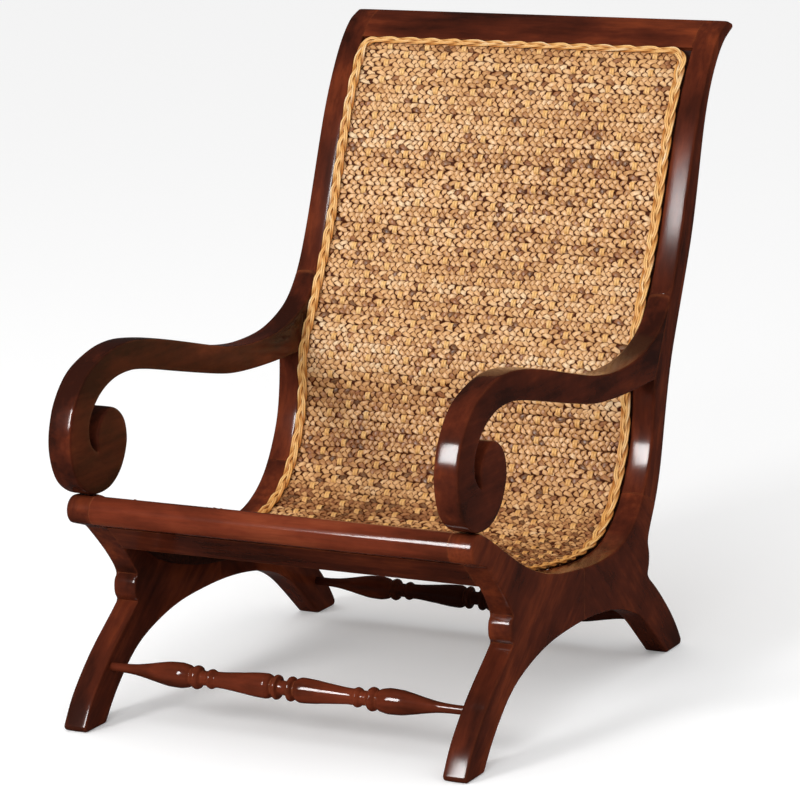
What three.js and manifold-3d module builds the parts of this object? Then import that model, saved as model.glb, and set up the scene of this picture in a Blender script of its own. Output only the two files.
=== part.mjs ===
// Planters chair: two side frames sawn from thick board, a sling panel of woven plaits, turned stretchers.
// Millimetres. X runs across the chair, Y from its front to its back, Z up.
// The origin is on the floor, in the middle. Left and right are as seen from the chair's front.
import * as THREE from 'three';
import { mergeVertices } from 'three/addons/utils/BufferGeometryUtils.js';
import Module from 'manifold-3d';

// Overall sizes
const overallWidth = 680;
const overallDepth = 1085;
const overallHeight = 1009;

// Side frames
const boardThickness = 39.5;
const edgeRound = 3.5;
const footCorner = 7;
const topCorner = 12;
const tipCorner = 5;
const noseRadius = 22.4;
const noseRise = 0.8;

// Joints
const fit = 0.3;
const overrun = 2;
const weldDistance = 1e-4;
const curveTolerance = 0.45;
const dowelRadius = 5;
const dowelDepth = 20;
const shortDowelDepth = 12;
const dowelSpread = 13;
const roundTenonRadius = 10;
const roundTenonDepth = 14;
const crestTenonWidth = 40;
const crestTenonThickness = 11;
const crestTenonDrop = 9;
const crestTenonDepth = 18;
const apronTenonWidth = 30;
const apronTenonThickness = 9;
const apronTenonDepth = 14;

// Front rail, apron and crest
const frontRailFoot = 3.75;
const apronThickness = 17;
const crestHeight = 76.5;

// Turned stretchers
const turnedRadius = 19.7;
const turnedTenonRadius = 6;
const turnedTenonDepth = 18;

// Panel: a frame of curved rails that carries the woven mat and its plaited border
const railWidth = 20;
const railDepth = 38;
const railFrontDepth = 12;
const railTopDepth = 18;
const railFrontReach = 220;
const seatReach = 700;
const railDrop = 8;
const matThickness = 8.3;
const borderWidth = 15;
const borderThickness = 9;
const borderLift = 1;
const borderGap = 1.1;
const borderCorner = 29;
const matGap = 1.5;
const crossRailWidth = 30;
const crossRailThickness = 16;
const seatRailSize = 24;
const seatRailDrop = 20;
const backRailDrop = 12;
const crossTenonDepth = 10;
const crossTenonThickness = 8;
const crossClearance = 1.5;

// Screws that hold the panel to the side frames
const screwHeadRadius = 4.2;
const screwShankRadius = 2.1;
const screwLength = 33;
const screwHeadDepth = 3.6;

// Counts
const splineSteps = 8;
const bevelSteps = 2;
const dowelSides = 12;
const screwSides = 10;
const turnedSides = 12;
const panelSteps = 36;
const cornerSteps = 5;
const noseSteps = 14;

// Derived sizes
const outerFace = overallWidth / 2;
const innerFace = outerFace - boardThickness;
const boardMiddle = outerFace - boardThickness / 2;

// A share of depth and a share of height, as a point of the side view
function sidePoint([depthShare, heightShare]) {
  return new THREE.Vector3(0, (depthShare - 1 / 2) * overallDepth, heightShare * overallHeight);
}

// A smooth line through the points, kept as few points as stay within the tolerance
function spline(points) {
  const curve = new THREE.CatmullRomCurve3(points, false, 'centripetal');
  const fine = curve.getPoints((points.length - 1) * splineSteps);
  const kept = [fine[0]];
  let last = 0;
  for (let index = 2; index < fine.length; index += 1) {
    const chord = new THREE.Line3(fine[last], fine[index]);
    const nearest = (point) => chord.closestPointToPoint(point, true, new THREE.Vector3());
    const strays = (point) => nearest(point).distanceTo(point) > curveTolerance;
    if (fine.slice(last + 1, index).some(strays)) {
      last = index - 1;
      kept.push(fine[last]);
    }
  }
  return [...kept, fine[fine.length - 1]];
}

// Shares of half a turn where the nose's roll starts and ends
const noseStartShare = 1.41;
const rollEndShare = 0.2;

// How far other points keep from a rounded corner, as a share of its radius
const cornerClearanceShare = 1.6;

// Side view, as shares of the overall depth from the front and of the overall height from the floor
const seatFrontShares = [
  [0.080, 0.357], [0.131, 0.325], [0.196, 0.285], [0.259, 0.255], [0.325, 0.235], [0.408, 0.222],
  [0.482, 0.2155], [0.546, 0.220], [0.592, 0.239], [0.624, 0.266], [0.652, 0.308], [0.671, 0.353],
  [0.680, 0.406],
];
const armUnderShare = [0.6825, 0.460];
const armMeetShare = [0.712, 0.519];
const armTopShare = [0.747, 0.587];
const backFrontShares = [
  [0.779, 0.653], [0.807, 0.729], [0.834, 0.805], [0.860, 0.867], [0.8925, 0.926], [0.919, 0.962],
  [0.949, 0.9885],
];
const topFrontShare = [0.976, 0.9985];
const topRearShare = [1.006, 0.9885];
const backRearShares = [
  [0.963, 0.968], [0.933, 0.9395], [0.903, 0.894], [0.878, 0.8325], [0.849, 0.7235],
  [0.822, 0.645], [0.781, 0.555], [0.749, 0.480], [0.7275, 0.403], [0.7175, 0.356],
  [0.7055, 0.309], [0.688, 0.2645], [0.655, 0.207],
];
const rearLobeShares = [
  [0.655, 0.207], [0.6615, 0.193], [0.6635, 0.176], [0.661, 0.161], [0.655, 0.148],
];
const rearLegShares = [
  [0.655, 0.148], [0.6825, 0.128], [0.722, 0.092], [0.7585, 0.0535], [0.783, 0.020], [0.794, 0],
];
const archShares = [
  [0.732, 0], [0.702, 0.0265], [0.655, 0.0685], [0.6125, 0.0965], [0.548, 0.120], [0.467, 0.134],
  [0.372, 0.1375], [0.279, 0.131], [0.193, 0.107], [0.159, 0.0885], [0.1277, 0.0625],
  [0.0945, 0.0265], [0.076, 0],
];
const frontLegShares = [
  [0.0124, 0], [0.038, 0.0445], [0.068, 0.079], [0.097, 0.1065], [0.126, 0.1295], [0.155, 0.150],
  [0.1755, 0.1655],
];
const frontLobeShares = [
  [0.1755, 0.1655], [0.168, 0.173], [0.165, 0.188], [0.168, 0.2015], [0.176, 0.2087],
];
const frontRiseShares = [
  [0.176, 0.2087], [0.159, 0.232], [0.146, 0.249], [0.121, 0.2735], [0.106, 0.289], [0.091, 0.303],
];
const noseDepthShare = 0.0635;
const armOuterShares = [
  [0.708, 0.542], [0.640, 0.5115], [0.555, 0.5025], [0.472, 0.5095], [0.369, 0.534],
  [0.270, 0.560], [0.168, 0.5753], [0.104, 0.5674], [0.048, 0.543], [0.0125, 0.4995], [0, 0.443],
  [0.016, 0.3915], [0.050, 0.3642],
];
const bulbShares = [
  [0.113, 0.364], [0.1415, 0.3865], [0.158, 0.426], [0.150, 0.462], [0.1175, 0.4846],
  [0.088, 0.4735], [0.073, 0.446], [0.077, 0.423], [0.0585, 0.440], [0.0567, 0.470],
  [0.0806, 0.5035], [0.122, 0.524], [0.173, 0.5287],
];
const armInnerShares = [
  [0.233, 0.519], [0.362, 0.4876], [0.463, 0.4658], [0.555, 0.459], [0.620, 0.4585],
];
const stretcherFrontShare = [0.0945, 0.084];
const stretcherRearShare = [0.726, 0.058];
const apronFootShare = [0.136, 0.2612];
const stileJointShare = [0.6613, 0.2725];
const seatRailShare = 0.27;
const backRailShare = 0.64;
const legMiddleShare = [0.417, 0.1785];
const armDowelShares = [0.15, 0.42];
const crestTenonShare = 0.42;

// The roll at the front edge: its top stands a little over the panel's front end and carries the scroll
const noseTail = sidePoint(seatFrontShares[0]);
const noseTop = noseTail.z + noseRise;
const nose = sidePoint([noseDepthShare, 0]).setZ(noseTop - noseRadius);
const armUnder = sidePoint(armUnderShare);
const armTop = sidePoint(armTopShare);
const scrollFoot = new THREE.Vector3(0, noseTail.y, noseTop + fit);
const groove = sidePoint(frontRiseShares[frontRiseShares.length - 1]);

// The line that the panel follows: over the front rail, down to the seat and up the back
const armEndShares = [armUnderShare, armMeetShare, armTopShare];
const seatShares = [...seatFrontShares, ...armEndShares, ...backFrontShares, topFrontShare];
const seatLine = new THREE.CatmullRomCurve3(seatShares.map(sidePoint), false, 'centripetal');
const seatLength = seatLine.getLength();
const crestAt = seatLength - crestHeight;

function tangentOn(place) {
  return seatLine.getTangentAt(place / seatLength);
}

// A point at a length along the seat line and a height above it, on the sitter's side
function onSeat(place, above = 0, across = 0) {
  const point = seatLine.getPointAt(place / seatLength);
  const tangent = tangentOn(place);
  return new THREE.Vector3(across, point.y - tangent.z * above, point.z + tangent.y * above);
}

function along(from, direction, length) {
  return from.clone().addScaledVector(direction, length);
}

// Replaces a corner by an arc that meets both edges
function rounded(before, corner, after, radius, steps = cornerSteps) {
  const toBefore = before.clone().sub(corner).normalize();
  const toAfter = after.clone().sub(corner).normalize();
  const half = toBefore.angleTo(toAfter) / 2;
  const reach = radius / Math.tan(half);
  const start = along(corner, toBefore, reach);
  const end = along(corner, toAfter, reach);
  const middle = along(corner, toBefore.clone().add(toAfter).normalize(), radius / Math.sin(half));
  const points = [];
  for (let step = 0; step <= steps; step += 1) {
    const spoke = start.clone().lerp(end, step / steps).sub(middle).normalize();
    points.push(along(middle, spoke, radius));
  }
  return points;
}

// Joins two runs of points that meet in a corner, with an arc in the corner's place
function joined(first, second, radius) {
  if (radius === 0) {
    return [...first, ...second.slice(1)];
  }
  const corner = first[first.length - 1];
  const clear = (point) => point.distanceTo(corner) > cornerClearanceShare * radius;
  const before = first.filter(clear);
  const after = second.filter(clear);
  return [...before, ...rounded(before[before.length - 1], corner, after[0], radius), ...after];
}

function arcPoints(centre, radius, fromAngle, toAngle, steps) {
  const points = [];
  for (let step = 0; step <= steps; step += 1) {
    const angle = fromAngle + ((toAngle - fromAngle) * step) / steps;
    points.push(along(centre, new THREE.Vector3(0, Math.cos(angle), Math.sin(angle)), radius));
  }
  return points;
}

// The outline of one side frame with its arm, in one run round the wood
function sideOutline() {
  const seat = spline([...seatFrontShares, armUnderShare].map(sidePoint));
  const arm = [
    ...armInnerShares.map(sidePoint).reverse(),
    ...bulbShares.map(sidePoint).reverse(),
    scrollFoot,
    ...armOuterShares.map(sidePoint).reverse(),
    armTop,
    ...backFrontShares.map(sidePoint),
    sidePoint(topFrontShare),
  ];
  const upper = spline([armUnder, ...arm]);
  const rear = spline([topRearShare, ...backRearShares].map(sidePoint));
  const rearLobe = spline(rearLobeShares.map(sidePoint));
  const rearLeg = spline(rearLegShares.map(sidePoint));
  const arch = spline(archShares.map(sidePoint));
  const frontLeg = spline(frontLegShares.map(sidePoint));
  const frontLobe = spline(frontLobeShares.map(sidePoint));
  const frontRise = spline(frontRiseShares.map(sidePoint));
  const noseArc = arcPoints(nose, noseRadius, Math.PI * noseStartShare, Math.PI / 2, noseSteps);
  const between = (first, second) => [first[first.length - 1], second[0]];
  const runs = [
    [upper, 0],
    [between(upper, rear), topCorner],
    [rear, tipCorner],
    [rearLobe, 0],
    [rearLeg, 0],
    [between(rearLeg, arch), footCorner],
    [arch, footCorner],
    [between(arch, frontLeg), footCorner],
    [frontLeg, footCorner],
    [frontLobe, 0],
    [frontRise, 0],
  ];
  const line = runs.reduce((done, [run, radius]) => joined(done, run, radius), seat);
  return [...line, ...noseArc];
}

// Solids
const wasm = await Module();
wasm.setup();

function bodyOf(geometry) {
  const bare = geometry.clone();
  bare.deleteAttribute('normal');
  bare.deleteAttribute('uv');
  const welded = mergeVertices(bare, weldDistance);
  const vertProperties = Float32Array.from(welded.attributes.position.array);
  const triVerts = Uint32Array.from(welded.index.array);
  return new wasm.Manifold(new wasm.Mesh({ numProp: 3, vertProperties, triVerts }));
}

function geometryOf(body) {
  const mesh = body.getMesh();
  const geometry = new THREE.BufferGeometry();
  const positions = Float32Array.from(mesh.vertProperties);
  geometry.setAttribute('position', new THREE.BufferAttribute(positions, 3));
  geometry.setIndex(new THREE.BufferAttribute(Uint32Array.from(mesh.triVerts), 1));
  geometry.computeVertexNormals();
  return geometry;
}

// A side view outline made thick from one X to another, with its long edges rounded if asked
function prism(points, fromX, toX, round = 0) {
  const shape = new THREE.Shape(points.map((point) => new THREE.Vector2(point.y, point.z)));
  const geometry = new THREE.ExtrudeGeometry(shape, {
    depth: toX - fromX - 2 * round,
    steps: 1,
    curveSegments: 1,
    bevelEnabled: round > 0,
    bevelThickness: round,
    bevelSize: round,
    bevelOffset: -round,
    bevelSegments: bevelSteps,
  });
  geometry.translate(0, 0, fromX + round);
  const turn = new THREE.Matrix4().makeBasis(
    new THREE.Vector3(0, 1, 0),
    new THREE.Vector3(0, 0, 1),
    new THREE.Vector3(1, 0, 0),
  );
  return geometry.applyMatrix4(turn);
}

function rod(from, to, radius, sides, farRadius = radius) {
  const axis = to.clone().sub(from);
  const geometry = new THREE.CylinderGeometry(farRadius, radius, axis.length(), sides);
  const upright = new THREE.Vector3(0, 1, 0);
  const turn = new THREE.Quaternion().setFromUnitVectors(upright, axis.clone().normalize());
  geometry.applyQuaternion(turn);
  const middle = from.clone().lerp(to, 1 / 2);
  return geometry.translate(middle.x, middle.y, middle.z);
}

// A rectangle of the side view, lying along the seat line's direction at a given length
function seatBlock(place, width, topAbove, thickness) {
  const centre = onSeat(place);
  const tangent = tangentOn(place);
  const normal = new THREE.Vector3(0, -tangent.z, tangent.y);
  const corner = (side, height) => along(along(centre, tangent, (side * width) / 2), normal, height);
  return [
    corner(-1, topAbove),
    corner(-1, topAbove - thickness),
    corner(1, topAbove - thickness),
    corner(1, topAbove),
  ];
}

// Regions of the side view that part the outline into pieces of wood
const outline = sideOutline();
const farOut = overallDepth;
const railBack = groove.y + frontRailFoot;

function crestRegion() {
  const tangent = tangentOn(crestAt);
  const normal = new THREE.Vector3(0, -tangent.z, tangent.y);
  const foot = onSeat(crestAt);
  const head = along(foot, tangent, crestHeight * 2);
  return [
    along(foot, normal, crestHeight),
    along(foot, normal, -crestHeight),
    along(head, normal, -crestHeight),
    along(head, normal, crestHeight),
  ];
}

function noseRegion() {
  const front = nose.y - noseRadius - overrun;
  const top = noseTop + fit / 2;
  return [
    new THREE.Vector3(0, front, groove.z),
    new THREE.Vector3(0, railBack, groove.z),
    new THREE.Vector3(0, railBack, top),
    new THREE.Vector3(0, front, top),
  ];
}

// Section of the front rail: a roll on a square foot
function railSection() {
  const foot = groove.z + fit;
  return [
    ...arcPoints(nose, noseRadius, -Math.PI * rollEndShare, Math.PI * noseStartShare, noseSteps * 2),
    new THREE.Vector3(0, groove.y, foot),
    new THREE.Vector3(0, railBack, foot),
    new THREE.Vector3(0, railBack, nose.z - noseRadius),
  ];
}

// The direction down the apron and the one into it
const apronFoot = sidePoint(apronFootShare);
const apronRun = apronFoot.clone().sub(groove).normalize();
const apronInward = new THREE.Vector3(0, -apronRun.z, apronRun.y);

function apronRegion(gap) {
  const top = groove.z - gap;
  const line = (inward) => {
    const foot = along(apronFoot, apronInward, inward);
    return [foot, along(foot, apronRun, (top - foot.z) / apronRun.z)];
  };
  return [...line(-apronThickness), ...line(apronThickness).reverse()];
}

// The line where the arm's end lies on the back stile, and its normal into the stile
const meetLine = armTop.clone().sub(armUnder).normalize();
const meetNormal = new THREE.Vector3(0, meetLine.z, -meetLine.y);
const meetLength = armTop.distanceTo(armUnder);

// The saw line between the stile and the rear leg, across the stile
const stileJoint = sidePoint(stileJointShare);
const stileRun = new THREE.Vector3(0, 1, 2).normalize();
const stileAcross = new THREE.Vector3(0, stileRun.z, -stileRun.y);
const legMiddle = sidePoint(legMiddleShare);
const legJointY = legMiddle.y;

function armRegion() {
  const low = along(along(armUnder, meetLine, -fit), meetNormal, -fit / 2);
  const high = along(along(armTop, meetLine, overrun), meetNormal, -fit / 2);
  const floorZ = noseTop + fit / 2;
  return [
    low,
    high,
    new THREE.Vector3(0, armTop.y - boardThickness, armTop.z + boardThickness),
    new THREE.Vector3(0, -farOut, armTop.z + boardThickness),
    new THREE.Vector3(0, -farOut, floorZ),
    new THREE.Vector3(0, armUnder.y - boardThickness * 2, floorZ),
    new THREE.Vector3(0, low.y, low.z - fit),
  ];
}

function stileRegion() {
  const across = along(stileJoint, stileRun, fit / 2);
  const low = along(along(armUnder, meetLine, -fit), meetNormal, fit / 2);
  const front = along(across, stileAcross, -boardThickness);
  return [
    along(across, stileAcross, boardThickness * 2),
    new THREE.Vector3(0, farOut, overallHeight / 2),
    new THREE.Vector3(0, farOut, farOut),
    new THREE.Vector3(0, armTop.y - boardThickness, farOut),
    new THREE.Vector3(0, armTop.y - boardThickness, armTop.z + boardThickness),
    along(armTop, meetNormal, fit / 2),
    low,
    front,
  ];
}

function rearLegRegion() {
  const across = along(stileJoint, stileRun, -fit / 2);
  const front = legJointY + fit / 2;
  const top = along(across, stileAcross, -boardThickness);
  return [
    along(across, stileAcross, boardThickness * 2),
    top,
    new THREE.Vector3(0, front, top.z),
    new THREE.Vector3(0, front, -overrun),
    new THREE.Vector3(0, farOut, -overrun),
  ];
}

function frontLegRegion() {
  const back = legJointY - fit / 2;
  const high = noseTop + fit / 4;
  return [
    new THREE.Vector3(0, -farOut, -overrun),
    new THREE.Vector3(0, back, -overrun),
    new THREE.Vector3(0, back, high),
    new THREE.Vector3(0, -farOut, high),
  ];
}

// Places of the dowels: a middle, a direction, and how far each reaches
function frameDowels(side) {
  const x = side * boardMiddle;
  const dowel = (name, middle, direction, back = dowelDepth, ahead = dowelDepth) => ({
    name: `${name}_${side > 0 ? 'right' : 'left'}`,
    from: along(middle, direction, -back).setX(x),
    to: along(middle, direction, ahead).setX(x),
  });
  const up = new THREE.Vector3(0, 0, 1);
  const rearward = new THREE.Vector3(0, 1, 0);
  const [armLow, armHigh] = armDowelShares.map((share) => along(armUnder, meetLine, meetLength * share));
  return [
    dowel('leg_dowel_upper', along(legMiddle, up, dowelSpread), rearward),
    dowel('leg_dowel_lower', along(legMiddle, up, -dowelSpread), rearward),
    dowel('stile_dowel_front', along(stileJoint, stileAcross, -dowelSpread), stileRun),
    dowel('stile_dowel_rear', along(stileJoint, stileAcross, dowelSpread), stileRun),
    dowel('arm_dowel_lower', armLow, meetNormal),
    dowel('arm_dowel_upper', armHigh, meetNormal, shortDowelDepth),
    dowel('scroll_dowel', noseTail.clone().setZ(noseTop), up, shortDowelDepth, shortDowelDepth),
  ];
}

function dowelHole({ from, to }) {
  const direction = to.clone().sub(from).normalize();
  const [start, end] = [along(from, direction, -fit), along(to, direction, fit)];
  return bodyOf(rod(start, end, dowelRadius + fit, dowelSides));
}

// Screws through the panel's side rails into the side frames
const screwShares = [0.1, 0.3, 0.52, 0.72, 0.9];
const panelEnd = crestAt - fit;
const frontTangent = tangentOn(0);
const frontFall = -frontTangent.z / frontTangent.y;
const frontRailTail = (railBack - noseTail.y) / frontTangent.y;
const matStart = (nose.y + noseRadius - noseTail.y + matGap) / frontTangent.y + railDrop * frontFall;
const panelStart = frontRailTail + (railDrop + crossRailThickness) * frontFall + matGap;

function screwPlaces(side) {
  return screwShares.map((share, index) => {
    const place = panelStart + (panelEnd - panelStart) * share;
    const drop = -railDrop - railDepthAt(place) / 2;
    return {
      name: `panel_screw_${side > 0 ? 'right' : 'left'}_${index + 1}`,
      head: onSeat(place, drop, side * (innerFace - railWidth)),
      side,
    };
  });
}

function screwBody({ head, side }, extra) {
  const out = new THREE.Vector3(side, 0, 0);
  const seat = along(head, out, screwHeadDepth);
  const end = along(head, out, screwLength + extra);
  const cone = rod(head, seat, screwHeadRadius + extra, screwSides, screwShankRadius + extra);
  const shank = rod(along(seat, out, -screwHeadDepth / 2), end, screwShankRadius + extra, screwSides);
  const screw = bodyOf(cone).add(bodyOf(shank));
  if (extra === 0) {
    return screw;
  }
  return screw.add(bodyOf(rod(along(head, out, -overrun), head, screwHeadRadius + extra, screwSides)));
}

// Stations along the seat line that the panel's curved pieces share, so that their faces stay parallel
function seatPlaces(from, to) {
  const places = [from];
  for (let step = 1; step < panelSteps; step += 1) {
    const place = (seatLength * step) / panelSteps;
    if (place > from + railDrop && place < to - railDrop) {
      places.push(place);
    }
  }
  return [...places, to];
}

// Depth of a panel side rail below its top, at a length along the seat line
function railDepthAt(place) {
  const grow = Math.min(place / railFrontReach, 1);
  const fade = Math.max((place - seatReach) / (seatLength - seatReach), 0);
  return railFrontDepth + (railDepth - railFrontDepth) * grow - (railDepth - railTopDepth) * fade;
}

const pieces = {};

function put(name, body, finish) {
  pieces[name] = { body, finish };
}

const mahogany = { color: 0x5a2418, roughness: 0.28, metalness: 0 };
const wornMahogany = { color: 0x8a3a1c, roughness: 0.25, metalness: 0 };
const plainWood = { color: 0xb98a58, roughness: 0.7, metalness: 0 };
const hyacinth = { color: 0xa98a62, roughness: 0.85, metalness: 0 };
const rattan = { color: 0xc49a5e, roughness: 0.75, metalness: 0 };
const steel = { color: 0x9a9690, roughness: 0.4, metalness: 1 };

// Turned stretcher: lengths and radii as shares of its half length and of its largest radius
const turnedShares = [
  [0, 0.56], [0.026, 0.58], [0.032, 0.93], [0.042, 0.97], [0.052, 0.90], [0.064, 0.68],
  [0.078, 0.88], [0.1, 0.98], [0.15, 0.95], [0.25, 0.79], [0.385, 0.63], [0.398, 0.70],
  [0.412, 0.785], [0.426, 0.72], [0.44, 0.575], [0.465, 0.575], [0.482, 0.87], [0.497, 0.94],
  [0.512, 0.86], [0.524, 0.73], [0.545, 0.88], [0.592, 1], [0.65, 0.97], [0.72, 0.80],
  [0.79, 0.59], [0.87, 0.41], [0.93, 0.36], [1, 0.35],
];

function turnedStretcher(centre) {
  const halfLength = innerFace - fit;
  const half = turnedShares.map(([far, wide]) => [far * halfLength, wide * turnedRadius]);
  const tenonEnd = innerFace + turnedTenonDepth;
  const right = [...half, [halfLength, turnedTenonRadius], [tenonEnd, turnedTenonRadius], [tenonEnd, 0]];
  const left = right.slice(1).reverse().map(([length, radius]) => [-length, radius]);
  const profile = [...left, ...right].map(([length, radius]) => new THREE.Vector2(radius, length));
  const geometry = new THREE.LatheGeometry(profile, turnedSides);
  geometry.rotateZ(-Math.PI / 2);
  return bodyOf(geometry.translate(0, centre.y, centre.z));
}

function stretcherHole(centre, side) {
  const from = new THREE.Vector3(side * (innerFace - overrun), centre.y, centre.z);
  const to = new THREE.Vector3(side * (innerFace + turnedTenonDepth + fit), centre.y, centre.z);
  return bodyOf(rod(from, to, turnedTenonRadius + fit, turnedSides));
}

// Blocks of the crest's and the apron's tenons, in the side view
function crestTenon(extra) {
  const middle = crestAt + crestHeight * crestTenonShare;
  const [width, thickness] = [crestTenonWidth, crestTenonThickness].map((size) => size + 2 * extra);
  return seatBlock(middle, width, -crestTenonDrop + extra, thickness);
}

function apronTenon(extra) {
  const centre = along(groove.clone().lerp(apronFoot, 1 / 2), apronInward, apronThickness / 2);
  const corner = (side, height) => along(
    along(centre, apronRun, side * (apronTenonWidth / 2 + extra)),
    apronInward,
    height * (apronTenonThickness / 2 + extra),
  );
  return [corner(-1, -1), corner(1, -1), corner(1, 1), corner(-1, 1)];
}

// Side frames
function sideFrame(side) {
  const [fromX, toX] = side > 0 ? [innerFace, outerFace] : [-outerFace, -innerFace];
  const [squareFrom, squareTo] = side > 0 ? [innerFace, boardMiddle] : [-boardMiddle, -innerFace];
  const square = bodyOf(prism(outline, squareFrom, squareTo));
  let wood = bodyOf(prism(outline, fromX, toX, edgeRound));
  [crestRegion(), noseRegion(), apronRegion(0)].forEach((region) => {
    wood = wood.add(square.intersect(bodyOf(prism(region, -outerFace, outerFace))));
  });
  const tenonHole = (block, depth) => {
    const ends = [side * (innerFace - overrun), side * (innerFace + depth + fit)].sort((a, b) => a - b);
    return bodyOf(prism(block, ends[0], ends[1]));
  };
  const railHole = rod(
    new THREE.Vector3(side * (innerFace - overrun), nose.y, nose.z),
    new THREE.Vector3(side * (innerFace + roundTenonDepth + fit), nose.y, nose.z),
    roundTenonRadius + fit,
    turnedSides,
  );
  const holes = [
    ...frameDowels(side).map(dowelHole),
    ...screwPlaces(side).map((place) => screwBody(place, fit)),
    stretcherHole(sidePoint(stretcherFrontShare), side),
    stretcherHole(sidePoint(stretcherRearShare), side),
    tenonHole(crestTenon(fit), crestTenonDepth),
    tenonHole(apronTenon(fit), apronTenonDepth),
    bodyOf(railHole),
  ];
  holes.forEach((hole) => {
    wood = wood.subtract(hole);
  });
  const name = side > 0 ? 'right' : 'left';
  const reach = outerFace + overrun;
  const part = (region) => wood.intersect(bodyOf(prism(region, -reach, reach)));
  put(`arm_${name}`, part(armRegion()), mahogany);
  put(`back_stile_${name}`, part(stileRegion()), mahogany);
  put(`rear_leg_${name}`, part(rearLegRegion()), mahogany);
  put(`front_leg_${name}`, part(frontLegRegion()), mahogany);
  frameDowels(side).forEach((place) => {
    put(place.name, bodyOf(rod(place.from, place.to, dowelRadius, dowelSides)), plainWood);
  });
}

// Cross pieces of the frame, cut from the same outline
function crossWood(region) {
  const reach = innerFace - fit;
  const cut = bodyOf(prism(region, -reach - overrun, reach + overrun));
  return bodyOf(prism(outline, -reach, reach)).intersect(cut);
}

function crossPieces() {
  const tenons = (body, block, depth) => {
    const reach = innerFace + depth;
    const inside = innerFace - fit - overrun;
    return body.add(bodyOf(prism(block, inside, reach))).add(bodyOf(prism(block, -reach, -inside)));
  };
  put('crest_rail', tenons(crossWood(crestRegion()), crestTenon(0), crestTenonDepth), mahogany);
  const tenonReach = innerFace + roundTenonDepth;
  const roundTenon = rod(
    new THREE.Vector3(-tenonReach, nose.y, nose.z),
    new THREE.Vector3(tenonReach, nose.y, nose.z),
    roundTenonRadius,
    turnedSides,
  );
  const roll = bodyOf(prism(railSection(), -innerFace + fit, innerFace - fit));
  put('front_rail', roll.add(bodyOf(roundTenon)), wornMahogany);
  const room = panelRoom().map((block) => bodyOf(prism(block, -innerFace, innerFace)));
  const apron = room.reduce((wood, block) => wood.subtract(block), crossWood(apronRegion(fit)));
  put('apron', tenons(apron, apronTenon(0), apronTenonDepth), mahogany);
  put('front_stretcher', turnedStretcher(sidePoint(stretcherFrontShare)), wornMahogany);
  put('rear_stretcher', turnedStretcher(sidePoint(stretcherRearShare)), mahogany);
}

// A closed band that follows the seat line: rings of points joined along it, with both ends capped
function loft(rings) {
  const size = rings[0].length;
  const positions = rings.flat().flatMap((point) => [point.x, point.y, point.z]);
  const faces = [];
  for (let ring = 0; ring + 1 < rings.length; ring += 1) {
    for (let corner = 0; corner < size; corner += 1) {
      const a = ring * size + corner;
      const b = ring * size + ((corner + 1) % size);
      faces.push(a, b, b + size, a, b + size, a + size);
    }
  }
  const last = (rings.length - 1) * size;
  for (let corner = 1; corner + 1 < size; corner += 1) {
    faces.push(0, corner + 1, corner, last, last + corner, last + corner + 1);
  }
  const geometry = new THREE.BufferGeometry();
  geometry.setAttribute('position', new THREE.BufferAttribute(Float32Array.from(positions), 3));
  geometry.setIndex(faces);
  return geometry;
}

// Panel rails
const crossSpan = innerFace - fit - railWidth - fit;

const endRail = { width: crossRailWidth, drop: railDrop + crossClearance, thickness: crossRailThickness };
const crossRails = [
  { name: 'panel_front_rail', place: panelStart + crossRailWidth / 2, ...endRail },
  { name: 'panel_top_rail', place: panelEnd - crossRailWidth / 2 - railDrop, ...endRail },
  {
    name: 'panel_seat_rail',
    place: seatLength * seatRailShare,
    width: seatRailSize,
    drop: seatRailDrop,
    thickness: seatRailSize,
  },
  {
    name: 'panel_back_rail',
    place: seatLength * backRailShare,
    width: seatRailSize,
    drop: backRailDrop,
    thickness: crossRailThickness,
  },
];

// The room that the panel's front and side rails take behind the apron, with a clearance under them
function panelRoom() {
  const [{ place, width, drop, thickness }] = crossRails;
  const places = seatPlaces(panelStart - fit, railFrontReach);
  const under = places.map((at) => onSeat(at, -railDrop - railDepthAt(at) - fit));
  const over = places.map((at) => onSeat(at)).reverse();
  return [seatBlock(place, width + 2 * fit, 0, drop + thickness + fit), [...over, ...under]];
}

function crossTenonBlock(rail, extra) {
  const top = -rail.drop - (rail.thickness - crossTenonThickness) / 2;
  const width = rail.width - crossTenonThickness;
  return seatBlock(rail.place, width + 2 * extra, top + extra, crossTenonThickness + 2 * extra);
}

function panelFrame() {
  crossRails.forEach((rail) => {
    const section = seatBlock(rail.place, rail.width, -rail.drop, rail.thickness);
    const board = bodyOf(prism(section, -crossSpan, crossSpan));
    const reach = crossSpan + fit + crossTenonDepth;
    put(rail.name, board.add(bodyOf(prism(crossTenonBlock(rail, 0), -reach, reach))), plainWood);
  });
  [1, -1].forEach((side) => {
    const outer = side * (innerFace - fit);
    const inner = side * (innerFace - fit - railWidth);
    const [low, high] = [Math.min(outer, inner), Math.max(outer, inner)];
    const rings = seatPlaces(panelStart, panelEnd).map((place) => {
      const foot = -railDrop - railDepthAt(place);
      return [
        onSeat(place, -railDrop, low),
        onSeat(place, -railDrop, high),
        onSeat(place, foot, high),
        onSeat(place, foot, low),
      ];
    });
    let wood = bodyOf(loft(rings));
    crossRails.forEach((rail) => {
      const reach = crossSpan + fit + crossTenonDepth + fit;
      wood = wood.subtract(bodyOf(prism(crossTenonBlock(rail, fit), -reach, reach)));
    });
    screwPlaces(side).forEach((place) => {
      wood = wood.subtract(screwBody(place, fit));
      put(place.name, screwBody(place, 0), steel);
    });
    put(`panel_side_rail_${side > 0 ? 'right' : 'left'}`, wood, plainWood);
  });
}

// Woven mat, and the flat plait that covers its edge and the seam round it
const borderMiddle = innerFace - borderGap - borderWidth / 2;
const borderTop = crestAt - borderGap - borderWidth / 2;
const cornerRadius = borderCorner - borderWidth / 2;
const matBottom = -railDrop + fit;
const matTop = matBottom + matThickness;

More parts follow.
